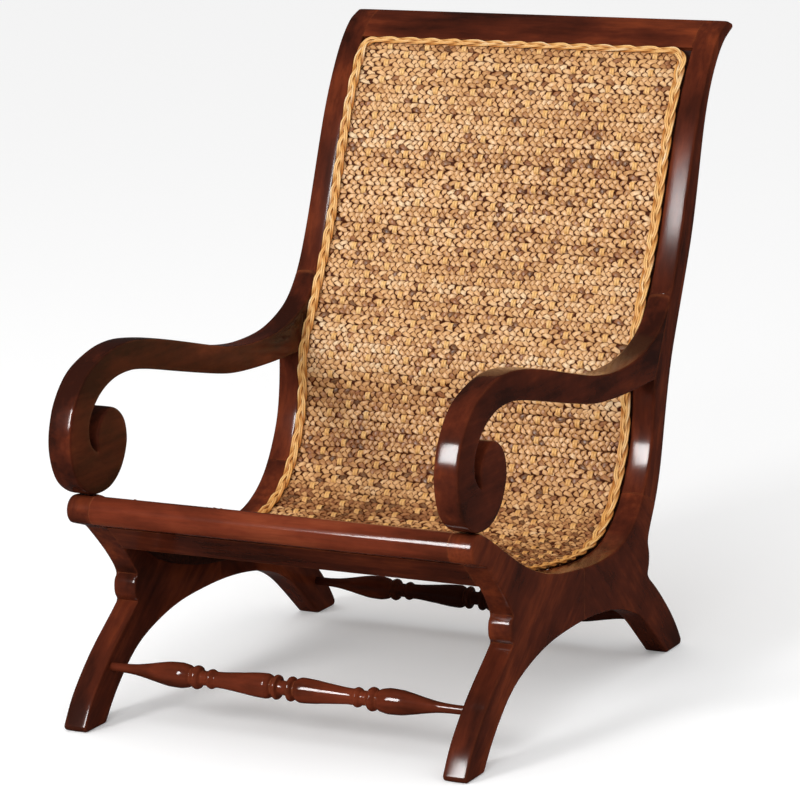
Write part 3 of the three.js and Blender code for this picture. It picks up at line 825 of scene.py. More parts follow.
@dataclass
class FrameWood:
    """The sawn pieces of the frame, with their facets smoothed into curves."""

    finish: Mahogany
    rubbed_finish: Mahogany
    arm_shade: float = 0.07
    flat_angle: float = 0.3
    sharp_angle: float = 50.0
    levels: int = 2

    grains: ClassVar[dict[str, Grain]] = {
        "arm": Grain.ARM,
        "back_stile": Grain.STILE,
        "rear_leg": Grain.REAR_LEG,
        "front_leg": Grain.FRONT_LEG,
        "crest_rail": Grain.CROSS,
        "apron": Grain.CROSS,
        "front_rail": Grain.CROSS,
    }

    def build(self, name: str) -> bpy.types.Object:
        """Copies a CAD node's wood, merges it and rounds its facets between the sharp edges.

        Args:
            name: The CAD node.

        Returns:
            The piece that stands for the node.
        """
        shape = bmesh.new()
        shape.from_mesh(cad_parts[name].data)
        bmesh.ops.remove_doubles(shape, verts=shape.verts, dist=MERGE)
        flat = math.radians(self.flat_angle)
        bmesh.ops.dissolve_limit(shape, angle_limit=flat, verts=shape.verts, edges=shape.edges)
        bmesh.ops.triangulate(shape, faces=[face for face in shape.faces if len(face.verts) > 4])
        crease = shape.edges.layers.float.new("crease_edge")
        for face in shape.faces:
            face.smooth = True
        for edge in shape.edges:
            edge.smooth = edge.calc_face_angle() < math.radians(self.sharp_angle)
            edge[crease] = 0.0 if edge.smooth else 1.0
        mesh = bpy.data.meshes.new(f"{name}_wood")
        shape.to_mesh(mesh)
        shape.free()
        piece = bpy.data.objects.new(f"{name}_wood", mesh)
        bpy.context.scene.collection.objects.link(piece)
        rounding = piece.modifiers.new("rounding", "SUBSURF")
        rounding.levels = rounding.render_levels = self.levels
        rounding.use_limit_surface = False
        return piece

    def dress(self, effects: SharedEffects) -> list[bpy.types.Object]:
        """Builds every sawn piece and gives it its finish.

        Args:
            effects: The shared effects.

        Returns:
            The pieces.
        """
        made = []
        finishes: dict[tuple[bool, Grain], bpy.types.Material] = {}
        for name in sorted(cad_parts):
            grain = self.grains.get(name.removesuffix("_left").removesuffix("_right"))
            if grain is None:
                continue
            rubbed = name == "front_rail"
            if (rubbed, grain) not in finishes:
                finish = self.rubbed_finish if rubbed else self.finish
                shade = self.arm_shade if grain is Grain.ARM else 0.0
                finishes[rubbed, grain] = finish.material(effects, grain, shade)
            piece = self.build(name)
            piece.data.materials.append(finishes[rubbed, grain])
            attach(piece, "root")
            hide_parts(name)
            made.append(piece)
        return made


@dataclass
class TurnedStretcher:
    """A turned stretcher, with the beads and tapers of its CAD node made round."""

    name: str
    slot: str
    sides: int = 40
    spacing: float = 1.2 * MM
    grid: float = MM / 10

    @staticmethod
    def tree() -> Tree:
        """Builds the tree that turns a line with a girth at each point.

        Returns:
            The tree.
        """
        inputs = {"Geometry": (GEOMETRY, None), "Sides": (WHOLE, 32), "Material": (MATERIAL, None)}
        group = Group("turned_wood", "GeometryNodeTree", inputs, {"Geometry": GEOMETRY})
        graph, given = group.graph, group.given
        line = graph.first("GeometryNodeMeshToCurve", {"Mesh": given["Geometry"]})
        ring_feeds = {"Resolution": given["Sides"], "Radius": 1.0}
        ring = graph.first("GeometryNodeCurvePrimitiveCircle", ring_feeds)
        feeds = {"Curve": line, "Profile Curve": ring, "Scale": graph.field("girth"), "Fill Caps": True}
        return group.finish(graph.first("GeometryNodeCurveToMesh", feeds))

    def girths(self, middle: Vector) -> tuple[np.ndarray, np.ndarray]:
        """Measures how far the node's points lie from its middle line.

        Args:
            middle: The middle of the node.

        Returns:
            Places across the chair, and the greatest girth at each.
        """
        found: dict[int, float] = {}
        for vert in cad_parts[self.name].data.vertices:
            key = round(vert.co.x / self.grid)
            reach = math.hypot(vert.co.y - middle.y, vert.co.z - middle.z)
            found[key] = max(found.get(key, 0.0), reach)
        keys = sorted(found)
        return np.array([key * self.grid for key in keys]), np.array([found[key] for key in keys])

    def profile(self) -> tuple[list[Vector], list[float]]:
        """Reads the node's girths and joins them by curves that never overshoot.

        Returns:
            The points of the middle line, and the girth at each.
        """
        low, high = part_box(self.name)
        middle = (Vector(low) + Vector(high)) / 2
        across, girth = self.girths(middle)
        steps = np.diff(girth) / np.diff(across)
        slopes = np.zeros(len(girth))
        same = steps[:-1] * steps[1:] > 0
        slopes[1:-1][same] = 2 * steps[:-1][same] * steps[1:][same] / (steps[:-1][same] + steps[1:][same])
        places = np.union1d(np.arange(across[0], across[-1], self.spacing), across)
        places = places[np.append(True, np.diff(places) > self.grid)]
        index = np.clip(np.searchsorted(across, places, side="right") - 1, 0, len(across) - 2)
        span = across[index + 1] - across[index]
        t = (places - across[index]) / span
        values = (
            girth[index] * (1 + 2 * t) * (1 - t) ** 2
            + slopes[index] * span * t * (1 - t) ** 2
            + girth[index + 1] * t * t * (3 - 2 * t)
            - slopes[index + 1] * span * t * t * (1 - t)
        )
        return [Vector((place, middle.y, middle.z)) for place in places], [float(value) for value in values]

    def build(self, tree: Tree, material: bpy.types.Material) -> bpy.types.Object:
        """Turns the stretcher.

        Args:
            tree: The turning tree.
            material: Its finish.

        Returns:
            The piece that stands for the node.
        """
        points, girths = self.profile()
        line = path_object(f"{self.name}_turned", points, {"girth": girths})
        piece = grown(line, tree, {"Sides": self.sides, "Material": material})
        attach(piece, "root")
        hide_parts(self.name)
        return piece


class Growth(Group):
    """A geometry tree that starts from a line of points and ends in a mesh with its material."""

    def __init__(self, name: str, lengths: tuple[str, ...], counts: tuple[str, ...] = ()) -> None:
        """Makes the tree with its inputs.

        Args:
            name: The tree's name.
            lengths: Names of its inputs that are sizes.
            counts: Names of its inputs that are whole numbers.
        """
        inputs: dict[str, tuple[str, object]] = {"Geometry": (GEOMETRY, None)}
        inputs |= {title: (FLOAT, 0.0) for title in lengths}
        inputs |= {title: (WHOLE, 0) for title in (*counts, "Seed")}
        inputs["Material"] = (MATERIAL, None)
        super().__init__(name, "GeometryNodeTree", inputs, {"Geometry": GEOMETRY})
        self.line = self.graph.first("GeometryNodeMeshToCurve", {"Mesh": self.given["Geometry"]})

    def copies(self, line: Socket, amount: object) -> tuple[Socket, Socket]:
        """Copies a line.

        Args:
            line: The line.
            amount: How many copies.

        Returns:
            The copies, and the number of each.
        """
        feeds = {"Geometry": line, "Amount": amount}
        made = self.graph.node("GeometryNodeDuplicateElements", feeds, domain="SPLINE")
        return made.outputs[0], made.outputs["Duplicate Index"]

    def ring(self, sides: int, bulge: float) -> Socket:
        """Builds a strand's cross-section, with each point's place on it stored.

        Args:
            sides: Number of points.
            bulge: 1 for an ellipse, less for a flatter top.

        Returns:
            The closed curve.
        """
        graph = self.graph
        circle = graph.first("GeometryNodeCurvePrimitiveCircle", {"Resolution": sides, "Radius": 1.0})
        high, wide, _ = graph.parts(graph.first("GeometryNodeInputPosition"))
        flat = graph.times(graph.math("SIGN", high), graph.math("POWER", graph.math("ABSOLUTE", high), bulge))
        circle = graph.store(circle, "around", graph.joined(flat, wide, 0.0), "FLOAT_VECTOR")
        tall = graph.times(flat, self.given["Thickness"], 0.5)
        spot = graph.joined(tall, graph.times(wide, self.given["Width"], 0.5), 0.0)
        return graph.first("GeometryNodeSetPosition", {"Geometry": circle, "Position": spot})

    def swept(self, lines: Socket, normal: Socket, ring: Socket, girth_shares: Socket | None = None) -> Tree:
        """Sweeps the cross-section along the lines and ends the tree.

        Args:
            lines: The strands' middle lines, with their tone and length stored.
            normal: The way their flat side faces.
            ring: The cross-section.
            girth_shares: The share of the full size at each point.

        Returns:
            The finished tree.
        """
        graph = self.graph
        feeds = {"Curve": lines, "Normal": normal}
        lines = graph.first("GeometryNodeSetCurveNormal", feeds, mode="FREE")
        feeds = {"Curve": lines, "Profile Curve": ring, "Scale": girth_shares, "Fill Caps": True}
        mesh = graph.first("GeometryNodeCurveToMesh", feeds)
        high, wide, _ = graph.parts(graph.field("around", "FLOAT_VECTOR"))
        beside = graph.plus(graph.times(wide, FIBRE_GIRTH), graph.field("tone"))
        spot = graph.joined(graph.field("along"), graph.times(high, FIBRE_GIRTH), beside)
        mesh = graph.store(mesh, "fibre", spot, "FLOAT_VECTOR")
        return self.finish(graph.store(mesh, "rim", graph.math("ABSOLUTE", wide)))


class RowLines:
    """Lines across the mat, some for each row, and where each of them lies on the seat line."""

    def __init__(self, growth: Growth, each: int) -> None:
        """Lays out the lines.

        Args:
            growth: The tree, with the inputs Half width, Row pitch, Points, Rows and First row.
            each: Lines for each row.
        """
        graph, given = growth.graph, growth.given
        half = given["Half width"]
        ends = {"Start": graph.joined(graph.times(half, -1.0), 0.0, 0.0), "End": graph.joined(half, 0.0, 0.0)}
        line = graph.first("GeometryNodeCurvePrimitiveLine", ends)
        line = graph.first("GeometryNodeResampleCurve", {"Curve": line, "Count": given["Points"]})
        self.graph = graph
        self.lines, number = growth.copies(line, graph.times(given["Rows"], float(each)))
        row, self.strand = graph.divided(number, float(each))
        self.row = graph.plus(row, given["First row"])
        self.across = graph.parts(graph.first("GeometryNodeInputPosition"))[0]
        self.place = graph.times(graph.plus(self.row, 0.5), given["Row pitch"])
        feeds = {"Curves": growth.line, "Length": self.place}
        sample = graph.node("GeometryNodeSampleCurve", feeds, mode="LENGTH")
        self.spot, self.tangent = sample.outputs["Position"], sample.outputs["Tangent"]
        self.normal = graph.vector("CROSS_PRODUCT", tuple(ACROSS), self.tangent)

    def laid(self, lines: Socket, sideways: object, upward: object) -> Socket:
        """Lays the lines on the seat.

        Args:
            lines: The lines, still straight across the chair's middle.
            sideways: How far they move along the seat.
            upward: How far they move out of it.

        Returns:
            The lines in their place.
        """
        graph = self.graph
        along = graph.vector("SCALE", self.tangent, sideways)
        out = graph.vector("SCALE", self.normal, upward)
        spot = graph.moved(self.spot, graph.joined(self.across, 0.0, 0.0), along, out)
        return graph.first("GeometryNodeSetPosition", {"Geometry": lines, "Position": spot})


@dataclass
class WovenMat:
    """The mat: rows of three-strand plaits, and pairs of flat cane that pass over and under them.

    Scales say how fast a random number changes along a row or a strip. Steps, shifts and keys keep the
    random numbers of neighbouring rows, strands and strips apart. Tones are moves along a stem's scale of
    colours, and front shade places are lengths along the seat over which the front's painted shade fades
    out to where the tone is even.
    """

    seat: SeatLine
    half_width: float
    row_pitch: float = 16.0 * MM
    tuck: float = 5.0 * MM
    middle: float = -4.2 * MM
    sections: int = 4

    strands: int = 3
    period: float = 36.0 * MM
    period_shares: Span = (0.8, 1.15)
    points_per_period: int = 9
    reach: float = 5.2 * MM
    depth: float = 2.4 * MM
    dip: float = 0.7 * MM
    loose: float = 6.4 * MM
    loose_scale: float = 70.0
    sway: float = 5.0 * MM
    sway_scale: float = 16.0
    sway_step: float = 5.3
    sway_plane: float = 2.0
    lift: float = 3.4 * MM
    lift_scale: float = 60.0
    turn_scale: float = 14.0
    turn_step: float = 0.7
    lean: float = 2.2
    lean_scale: float = 80.0
    strand_width: float = 9.8 * MM
    strand_thickness: float = 2.8 * MM
    strand_sides: int = 10
    strand_bulge: float = 0.5
    sunk_span: Span = (-1.0, -0.1)
    girth_shares: Span = (0.72, 1.26)
    girth_scale: float = 90.0
    girth_span: Span = (0.25, 0.75)
    row_step: float = 3.1
    strand_step: float = 7.7

    patch_scale: float = 2.2
    patch_stretch: float = 1.2
    patch_step: float = 0.19
    patch_span: Span = (0.34, 0.66)
    patch_tones: Span = (-0.16, 0.2)
    streak_scale: float = 9.0
    streak_step: float = 5.0
    streak_tones: Span = (0.3, 0.8)
    dark_share: float = 0.1
    dark_tone: float = -0.45
    strand_tones: Span = (-0.12, 0.15)
    front_shade_places: Span = (0.42, 0.8)
    front_shade_tone: float = -0.34
    front_shade_cane_tone: float = -0.36

    heart_width_share: float = 1.08
    heart_thickness: float = 3.0 * MM
    heart_points: int = 30
    heart_sides: int = 8

    cane_pitch: float = 34.5 * MM
    cane_width: float = 4.8 * MM
    cane_spacing_share: float = 0.9
    cane_thickness: float = 1.0 * MM
    cane_sides: int = 6
    cane_bulge: float = 0.3
    cane_rise: float = 4.7 * MM
    cane_steepness: float = 2.8
    cane_under: float = 0.3
    cane_drift: float = 4.0 * MM
    cane_drift_scale: float = 12.0
    cane_drift_step: float = 2.3
    cane_edge: float = 20.0 * MM
    cane_steps_per_row: float = 6.0
    cane_tones: Span = (0.35, 0.6)
    cane_tone_scale: float = 18.0
    cane_tone_step: float = 1.7
    cane_streak_tones: Span = (-0.1, 0.3)

    lift_shift: ClassVar[tuple[float, float, float]] = (3.0, 5.0, 7.0)
    girth_shift: ClassVar[tuple[float, float, float]] = (9.0, 2.0, 4.0)
    lean_shift: ClassVar[tuple[float, float, float]] = (1.0, 8.0, 2.0)
    row_keys: ClassVar[float] = 900.0
    strand_keys: ClassVar[float] = 300.0

    def plait_tree(self) -> Tree:
        """Builds the tree that lays rows of plaits along a line.

        Returns:
            The tree.
        """
        sizes = ("Row pitch", "Half width", "Period", "Reach", "Depth", "Loose", "Sway", "Lift")
        sizes += ("Middle", "Width", "Thickness", "Cane pitch", "Dip")
        growth = Growth("plait_rows", sizes, ("First row", "Rows", "Points"))
        graph, given = growth.graph, growth.given
        rows = RowLines(growth, self.strands)

        # How many periods each strand has run: the strands of a row are a third of a period apart.
        start = graph.chance(rows.row, given["Seed"])
        even = graph.over(rows.across, given["Period"])
        even = graph.times(even, graph.spread(start, UNIT, self.period_shares))
        turn_seed = graph.joined(rows.across, graph.times(rows.row, self.turn_step), 0.0)
        wander = graph.noise(turn_seed, self.turn_scale, detail=2.0)
        turns = graph.plus(even, start, wander, graph.over(rows.strand, float(self.strands)))
        angle = graph.times(turns, 2 * math.pi)
        twice = graph.math("SINE", graph.times(angle, 2.0))

        # 1 where a pair of cane passes over the row, and -1 where it passes under.
        column = graph.over(rows.across, given["Cane pitch"])
        under = graph.math("COSINE", graph.times(graph.plus(column, rows.row), math.pi))

        # Each strand has a place of its own in the random numbers.
        row_seed = graph.times(rows.row, self.row_step)
        seed = graph.joined(rows.across, row_seed, graph.times(rows.strand, self.strand_step))
        sway_seed = graph.joined(rows.across, graph.times(rows.row, self.sway_step), self.sway_plane)
        sideways = graph.plus(
            graph.times(graph.math("SINE", angle), given["Reach"]),
            graph.stray(seed, self.loose_scale, given["Loose"]),
            graph.stray(sway_seed, self.sway_scale, given["Sway"]),
        )
        upward = graph.plus(
            given["Middle"],
            graph.times(twice, given["Depth"]),
            graph.times(under, given["Dip"], -1.0),
            graph.stray(graph.moved(seed, self.lift_shift), self.lift_scale, given["Lift"]),
        )

        strands = graph.store(rows.lines, "tone", self.plait_tone(graph, rows, turns, given["Seed"]))
        strands = graph.store(strands, "along", rows.across)
        # Sunk marks where a strand dives under another; the stem darkens there as painted shade.
        strands = graph.store(strands, "sunk", graph.spread(twice, self.sunk_span, (1.0, 0.0)))
        strands = rows.laid(strands, sideways, upward)
        swell = graph.noise(graph.moved(seed, self.girth_shift), self.girth_scale, detail=2.0)
        girths = graph.spread(swell, self.girth_span, self.girth_shares)
        lean = graph.stray(graph.moved(seed, self.lean_shift), self.lean_scale, self.lean)
        facing = graph.moved(rows.normal, graph.vector("SCALE", rows.tangent, lean))
        facing = graph.vector("NORMALIZE", facing)
        return growth.swept(strands, facing, growth.ring(self.strand_sides, self.strand_bulge), girths)

    def plait_tone(self, graph: Graph, rows: RowLines, turns: Socket, seed: Socket) -> Socket:
        """Works out the plaits' tone: patches, streaks, single dark lobes and painted shade at the front.

        Args:
            graph: The tree under construction.
            rows: The rows' lines.
            turns: How many periods of the plait each strand has run, at each point.
            seed: The tree's seed.

        Returns:
            The tone at each point.
        """
        # A lobe runs from one lowest point of a strand, where others cover it, to the next.
        lobe = graph.math("FLOOR", graph.plus(graph.times(turns, 2.0), 0.25))
        row_key = graph.times(rows.row, self.row_keys)
        chance = graph.chance(graph.plus(row_key, graph.times(rows.strand, self.strand_keys), lobe), seed)
        across = graph.times(rows.across, self.patch_stretch)
        patch = graph.joined(across, graph.times(rows.row, self.patch_step), 0.0)
        patches = graph.noise(patch, self.patch_scale, detail=4.0)
        streak = graph.joined(rows.across, graph.times(rows.row, self.streak_step), rows.strand)
        streaks = graph.noise(streak, self.streak_scale, detail=2.0)
        return graph.plus(
            graph.spread(patches, self.patch_span, self.patch_tones),
            graph.spread(streaks, NOISE_SPAN, self.streak_tones),
            graph.spread(chance, (0.0, self.dark_share), (self.dark_tone, 0.0)),
            graph.spread(chance, (self.dark_share, 1.0), self.strand_tones),
            # Painted shade: the plaits darken towards the seat's front.
            graph.spread(rows.place, self.front_shade_places, (self.front_shade_tone, 0.0)),
        )

    def heart_tree(self) -> Tree:
        """Builds the tree of each row's heart, a core that shows as painted shade in the gaps between
        strands.

        Returns:
            The tree.
        """
        sizes = ("Row pitch", "Half width", "Middle", "Width", "Thickness")
        growth = Growth("row_hearts", sizes, ("First row", "Rows", "Points"))
        rows = RowLines(growth, 1)
        hearts = growth.graph.store(rows.lines, "along", rows.across)
        hearts = rows.laid(hearts, 0.0, growth.given["Middle"])
        return growth.swept(hearts, rows.normal, growth.ring(self.heart_sides, 1.0))

    def cane_tree(self) -> Tree:
        """Builds the tree that weaves flat cane over and under the rows.

        Returns:
            The tree.
        """
        sizes = ("Cane pitch", "Width", "Thickness", "Row pitch", "Rise", "Middle", "Drift")
        growth = Growth("cane_pairs", sizes, ("Columns",))
        graph, given = growth.graph, growth.given
        step = graph.over(given["Row pitch"], self.cane_steps_per_row)
        line = graph.first("GeometryNodeResampleCurve", {"Curve": growth.line, "Length": step}, mode="LENGTH")
        strips, number = growth.copies(line, graph.times(given["Columns"], 2.0))

        # Two strips lie side by side in each lane, and the middle lane is number 0.
        column, side = graph.divided(number, 2.0)
        half = graph.plus(side, -0.5)
        lane = graph.math("SUBTRACT", column, graph.times(graph.plus(given["Columns"], -1.0), 0.5))
        place = graph.node("GeometryNodeSplineParameter").outputs["Length"]
        drift = graph.joined(place, graph.times(column, self.cane_drift_step), 0.0)
        across = graph.plus(
            graph.times(lane, given["Cane pitch"]),
            graph.times(half, given["Width"], self.cane_spacing_share),
            graph.stray(drift, self.cane_drift_scale, given["Drift"]),
        )

        # A strip is over the rows whose number and lane make an even sum, and under the others.
        rows = graph.plus(graph.over(place, given["Row pitch"]), -0.5)
        wave = graph.math("COSINE", graph.times(graph.plus(rows, lane), math.pi))
        crown = graph.flattened(graph.plus(wave, -self.cane_under), self.cane_steepness)
        upward = graph.plus(graph.times(crown, given["Rise"]), given["Middle"])
        normal = graph.vector("CROSS_PRODUCT", tuple(ACROSS), graph.first("GeometryNodeInputTangent"))
        offset = graph.moved(graph.vector("SCALE", normal, upward), graph.joined(across, 0.0, 0.0))
        strip_seed = graph.joined(place, graph.times(number, self.cane_tone_step), 0.0)
        slow = graph.noise(strip_seed, self.cane_tone_scale, detail=2.0)
        tone = graph.plus(
            graph.spread(graph.chance(number, given["Seed"]), UNIT, self.cane_tones),
            graph.spread(slow, NOISE_SPAN, self.cane_streak_tones),
            # Painted shade: the cane darkens towards the seat's front.
            graph.spread(place, self.front_shade_places, (self.front_shade_cane_tone, 0.0)),
        )
        strips = graph.store(graph.store(strips, "tone", tone), "along", place)
        strips = graph.first("GeometryNodeSetPosition", {"Geometry": strips, "Offset": offset})
        return growth.swept(strips, normal, growth.ring(self.cane_sides, self.cane_bulge))

    def build(
        self, plait: bpy.types.Material, heart: bpy.types.Material, cane: bpy.types.Material
    ) -> list[bpy.types.Object]:
        """Weaves the mat.

        Args:
            plait: Finish of the plaits.
            heart: Finish of the rows' hearts, dark as painted shade in the gaps.
            cane: Finish of the flat cane.

        Returns:
            The mat's pieces.
        """
        rows = int(self.seat.length / self.row_pitch)
        pitch = self.seat.length / rows
        tucked = self.half_width - self.tuck
        shared = {
            "Row pitch": pitch,
            "Half width": tucked,
            "Middle": self.middle,
            "Cane pitch": self.cane_pitch,
        }
        plaits = shared | {
            "Points": round(2 * tucked / self.period * self.points_per_period),
            "Period": self.period,
            "Reach": self.reach,
            "Depth": self.depth,
            "Loose": self.loose,
            "Sway": self.sway,
            "Lift": self.lift,
            "Dip": self.dip,
            "Width": self.strand_width,
            "Thickness": self.strand_thickness,
            "Seed": 5,
            "Material": plait,
        }
        hearts = shared | {
            "Rows": rows,
            "Points": self.heart_points,
            "Width": pitch * self.heart_width_share,
            "Thickness": self.heart_thickness,
            "Material": heart,
        }
        canes = shared | {
            "Columns": 2 * int((self.half_width - self.cane_edge) / self.cane_pitch) + 1,
            "Width": self.cane_width,
            "Thickness": self.cane_thickness,
            "Rise": self.cane_rise,
            "Drift": self.cane_drift,
            "Seed": 11,
            "Material": cane,
        }
        tree = self.plait_tree()
        bounds = [round(rows * part / self.sections) for part in range(self.sections + 1)]
        made = []
        for number, (first, last) in enumerate(zip(bounds, bounds[1:])):
            base = path_object(f"mat_plaits_{number + 1}", self.seat.points)
            made.append(grown(base, tree, plaits | {"First row": first, "Rows": last - first}))
        made.append(grown(path_object("mat_hearts", self.seat.points), self.heart_tree(), hearts))
        made.append(grown(path_object("mat_cane", self.seat.points), self.cane_tree(), canes))
        for piece in made:
            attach(piece, "root")
            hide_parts("woven_mat")
        return made


@dataclass
class BorderPlait:
    """The flat rattan plait that covers the mat's edge, up one side, across the top and down the other.

    Scales, steps and tones are as in the mat. Front shade depths are places from the chair's front to its
    back, over which painted shade at the front fades out.
    """

    seat: SeatLine
    half_width: float
    lift: float = 3.4 * MM
    front_dip: float = 8.0 * MM
    front_fade: float = 50.0 * MM
    corner: float = 21.5 * MM
    corner_steps: int = 8
    spacing: float = 5.0 * MM
    top_share: float = 0.72

    strands: int = 3
    period: float = 118.0 * MM
    turn_scale: float = 8.0
    turn_size: float = 0.25
    reach: float = 4.8 * MM
    steepness: float = 1.5
    depth: float = 1.9 * MM
    loose: float = 1.6 * MM
    loose_scale: float = 40.0
    strand_step: float = 3.1
    strand_width: float = 3.6 * MM
    strand_spacing_share: float = 0.98
    strand_thickness: float = 2.8 * MM
    strand_sides: int = 10
    strand_bulge: float = 0.8
    sunk_span: Span = (-0.9, 0.4)

    strand_tones: Span = (0.05, 0.65)
    streak_scale: float = 11.0
    streak_tones: Span = (-0.15, 0.35)
    front_shade_depths: Span = (-0.2, 0.2)
    front_shade_tone: float = -0.28

    def path(self) -> tuple[list[Vector], list[Vector], list[float]]:
        """Lays out the plait's middle line.

        Returns:
            The points, the direction out of the mat at each, and the share of the full width there.
        """
        middle = self.half_width
        end = self.seat.length
        straight = end - self.corner
        steps = int(straight / self.spacing)
        side = [(middle, straight * step / steps) for step in range(steps + 1)]
        for step in range(1, self.corner_steps + 1):
            angle = math.pi / 2 * step / self.corner_steps
            inward = self.corner * (1 - math.cos(angle))
            side.append((middle - inward, straight + self.corner * math.sin(angle)))
        inner = side[-1][0]
        count = int(2 * inner / self.spacing)
        top = [(inner - 2 * inner * step / count, end) for step in range(1, count)]
        points, normals, width_shares = [], [], []
        for across, place in [*side, *top, *((-across, place) for across, place in reversed(side))]:
            corner_share = min(max((place - straight) / self.corner, 0.0), 1.0)
            width_shares.append(1 - (1 - self.top_share) * corner_share)
            point, normal = self.seat.at(place)
            fade_share = min(place / self.front_fade, 1.0)
            lift = self.lift - self.front_dip * (1 - fade_share * fade_share * (3 - 2 * fade_share))
            points.append(point + normal * lift + ACROSS * across)
            normals.append(normal)
        return points, normals, width_shares

    def tree(self) -> Tree:
        """Builds the tree that plaits three pairs of flat strands along a line.

        Returns:
            The tree.
        """
        growth = Growth("flat_plait", ("Period", "Reach", "Depth", "Loose", "Width", "Thickness"))
        graph, given = growth.graph, growth.given
        strands, number = growth.copies(growth.line, 2 * self.strands)

        # Two flat strands lie side by side in each strand of the plait.
        strand, side = graph.divided(number, 2.0)
        half = graph.plus(side, -0.5)
        place = graph.node("GeometryNodeSplineParameter").outputs["Length"]
        normal = graph.field("above", "FLOAT_VECTOR")
        sideways = graph.vector("CROSS_PRODUCT", normal, graph.first("GeometryNodeInputTangent"))
        slow = graph.noise(graph.joined(place, 0.0, 0.0), self.turn_scale, detail=2.0)
        wander = graph.times(slow, self.turn_size)
        share = graph.over(strand, float(self.strands))
        turns = graph.plus(graph.over(place, given["Period"]), share, wander)
        angle = graph.times(turns, 2 * math.pi)
        seed = graph.joined(place, graph.times(number, self.strand_step), 0.0)
        narrow = graph.field("narrow")
        beside = graph.plus(
            graph.times(graph.flattened(graph.math("SINE", angle), self.steepness), given["Reach"]),
            graph.times(half, given["Width"], self.strand_spacing_share),
            graph.stray(seed, self.loose_scale, given["Loose"]),
        )
        twice = graph.math("SINE", graph.times(angle, 2.0))
        upward = graph.vector("SCALE", normal, graph.times(twice, given["Depth"]))
        offset = graph.moved(graph.vector("SCALE", sideways, graph.times(beside, narrow)), upward)
        forward = graph.parts(graph.first("GeometryNodeInputPosition"))[1]
        tone = graph.plus(
            graph.spread(graph.chance(number, given["Seed"]), UNIT, self.strand_tones),
            graph.spread(graph.noise(seed, self.streak_scale), NOISE_SPAN, self.streak_tones),
            # Painted shade: the border darkens towards the chair's front.
            graph.spread(forward, self.front_shade_depths, (self.front_shade_tone, 0.0)),
        )
        strands = graph.store(graph.store(strands, "tone", tone), "along", place)
        # Sunk marks where a strand dives under another; the stem darkens there as painted shade.
        strands = graph.store(strands, "sunk", graph.spread(twice, self.sunk_span, (1.0, 0.0)))
        strands = graph.first("GeometryNodeSetPosition", {"Geometry": strands, "Offset": offset})
        return growth.swept(strands, normal, growth.ring(self.strand_sides, self.strand_bulge), narrow)

    def build(self, material: bpy.types.Material) -> bpy.types.Object:
        """Plaits the border.

        Args:
            material: Its finish.

        Returns:
            The piece.
        """
        points, normals, width_shares = self.path()
        values = {
            "Period": self.period,
            "Reach": self.reach,
            "Depth": self.depth,
            "Loose": self.loose,
            "Width": self.strand_width,
            "Thickness": self.strand_thickness,
            "Seed": 3,
            "Material": material,
        }
        line = path_object("border_strands", points, {"above": normals, "narrow": width_shares})
        piece = grown(line, self.tree(), values)
        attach(piece, "root")
        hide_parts("plait_border")
        return piece


@dataclass
class HiddenParts:
    """The panel's plain frame, the dowels and the screws: CAD nodes that keep their shape."""

    wood: PlainWood
    steel: ScrewSteel

    def dress(self, effects: SharedEffects) -> int:
        """Gives each node its finish.

        Args:
            effects: The shared effects.

        Returns:
            How many nodes were dressed.
        """
        wood = self.wood.material(effects)
        steel = self.steel.material()
        count = 0
        for name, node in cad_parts.items():
            if "dowel" in name or "screw" in name or name.startswith("panel_"):
                node.data.materials.clear()
                node.data.materials.append(steel if "screw" in name else wood)
                count += 1
        return count


@dataclass
class Softbox:
    """One soft light."""

    name: str
    place: tuple[float, float, float]
    width: float
    height: float
    power: float
    only_shine: bool = False

    def build(self, target: Vector) -> None:
        """Hangs the light so that it faces a point.

        Args:
            target: The point.
        """
        lamp = bpy.data.lights.new(self.name, "AREA")
        lamp.shape = "RECTANGLE"
        lamp.size = self.width
        lamp.size_y = self.height
        lamp.energy = self.power
        made = bpy.data.objects.new(self.name, lamp)
        made.visible_glossy = self.only_shine
        made.visible_diffuse = not self.only_shine
        made.location = self.place
        made.rotation_mode = "QUATERNION"
        made.rotation_quaternion = (target - Vector(self.place)).to_track_quat("-Z", "Y")
        bpy.context.scene.collection.objects.link(made)


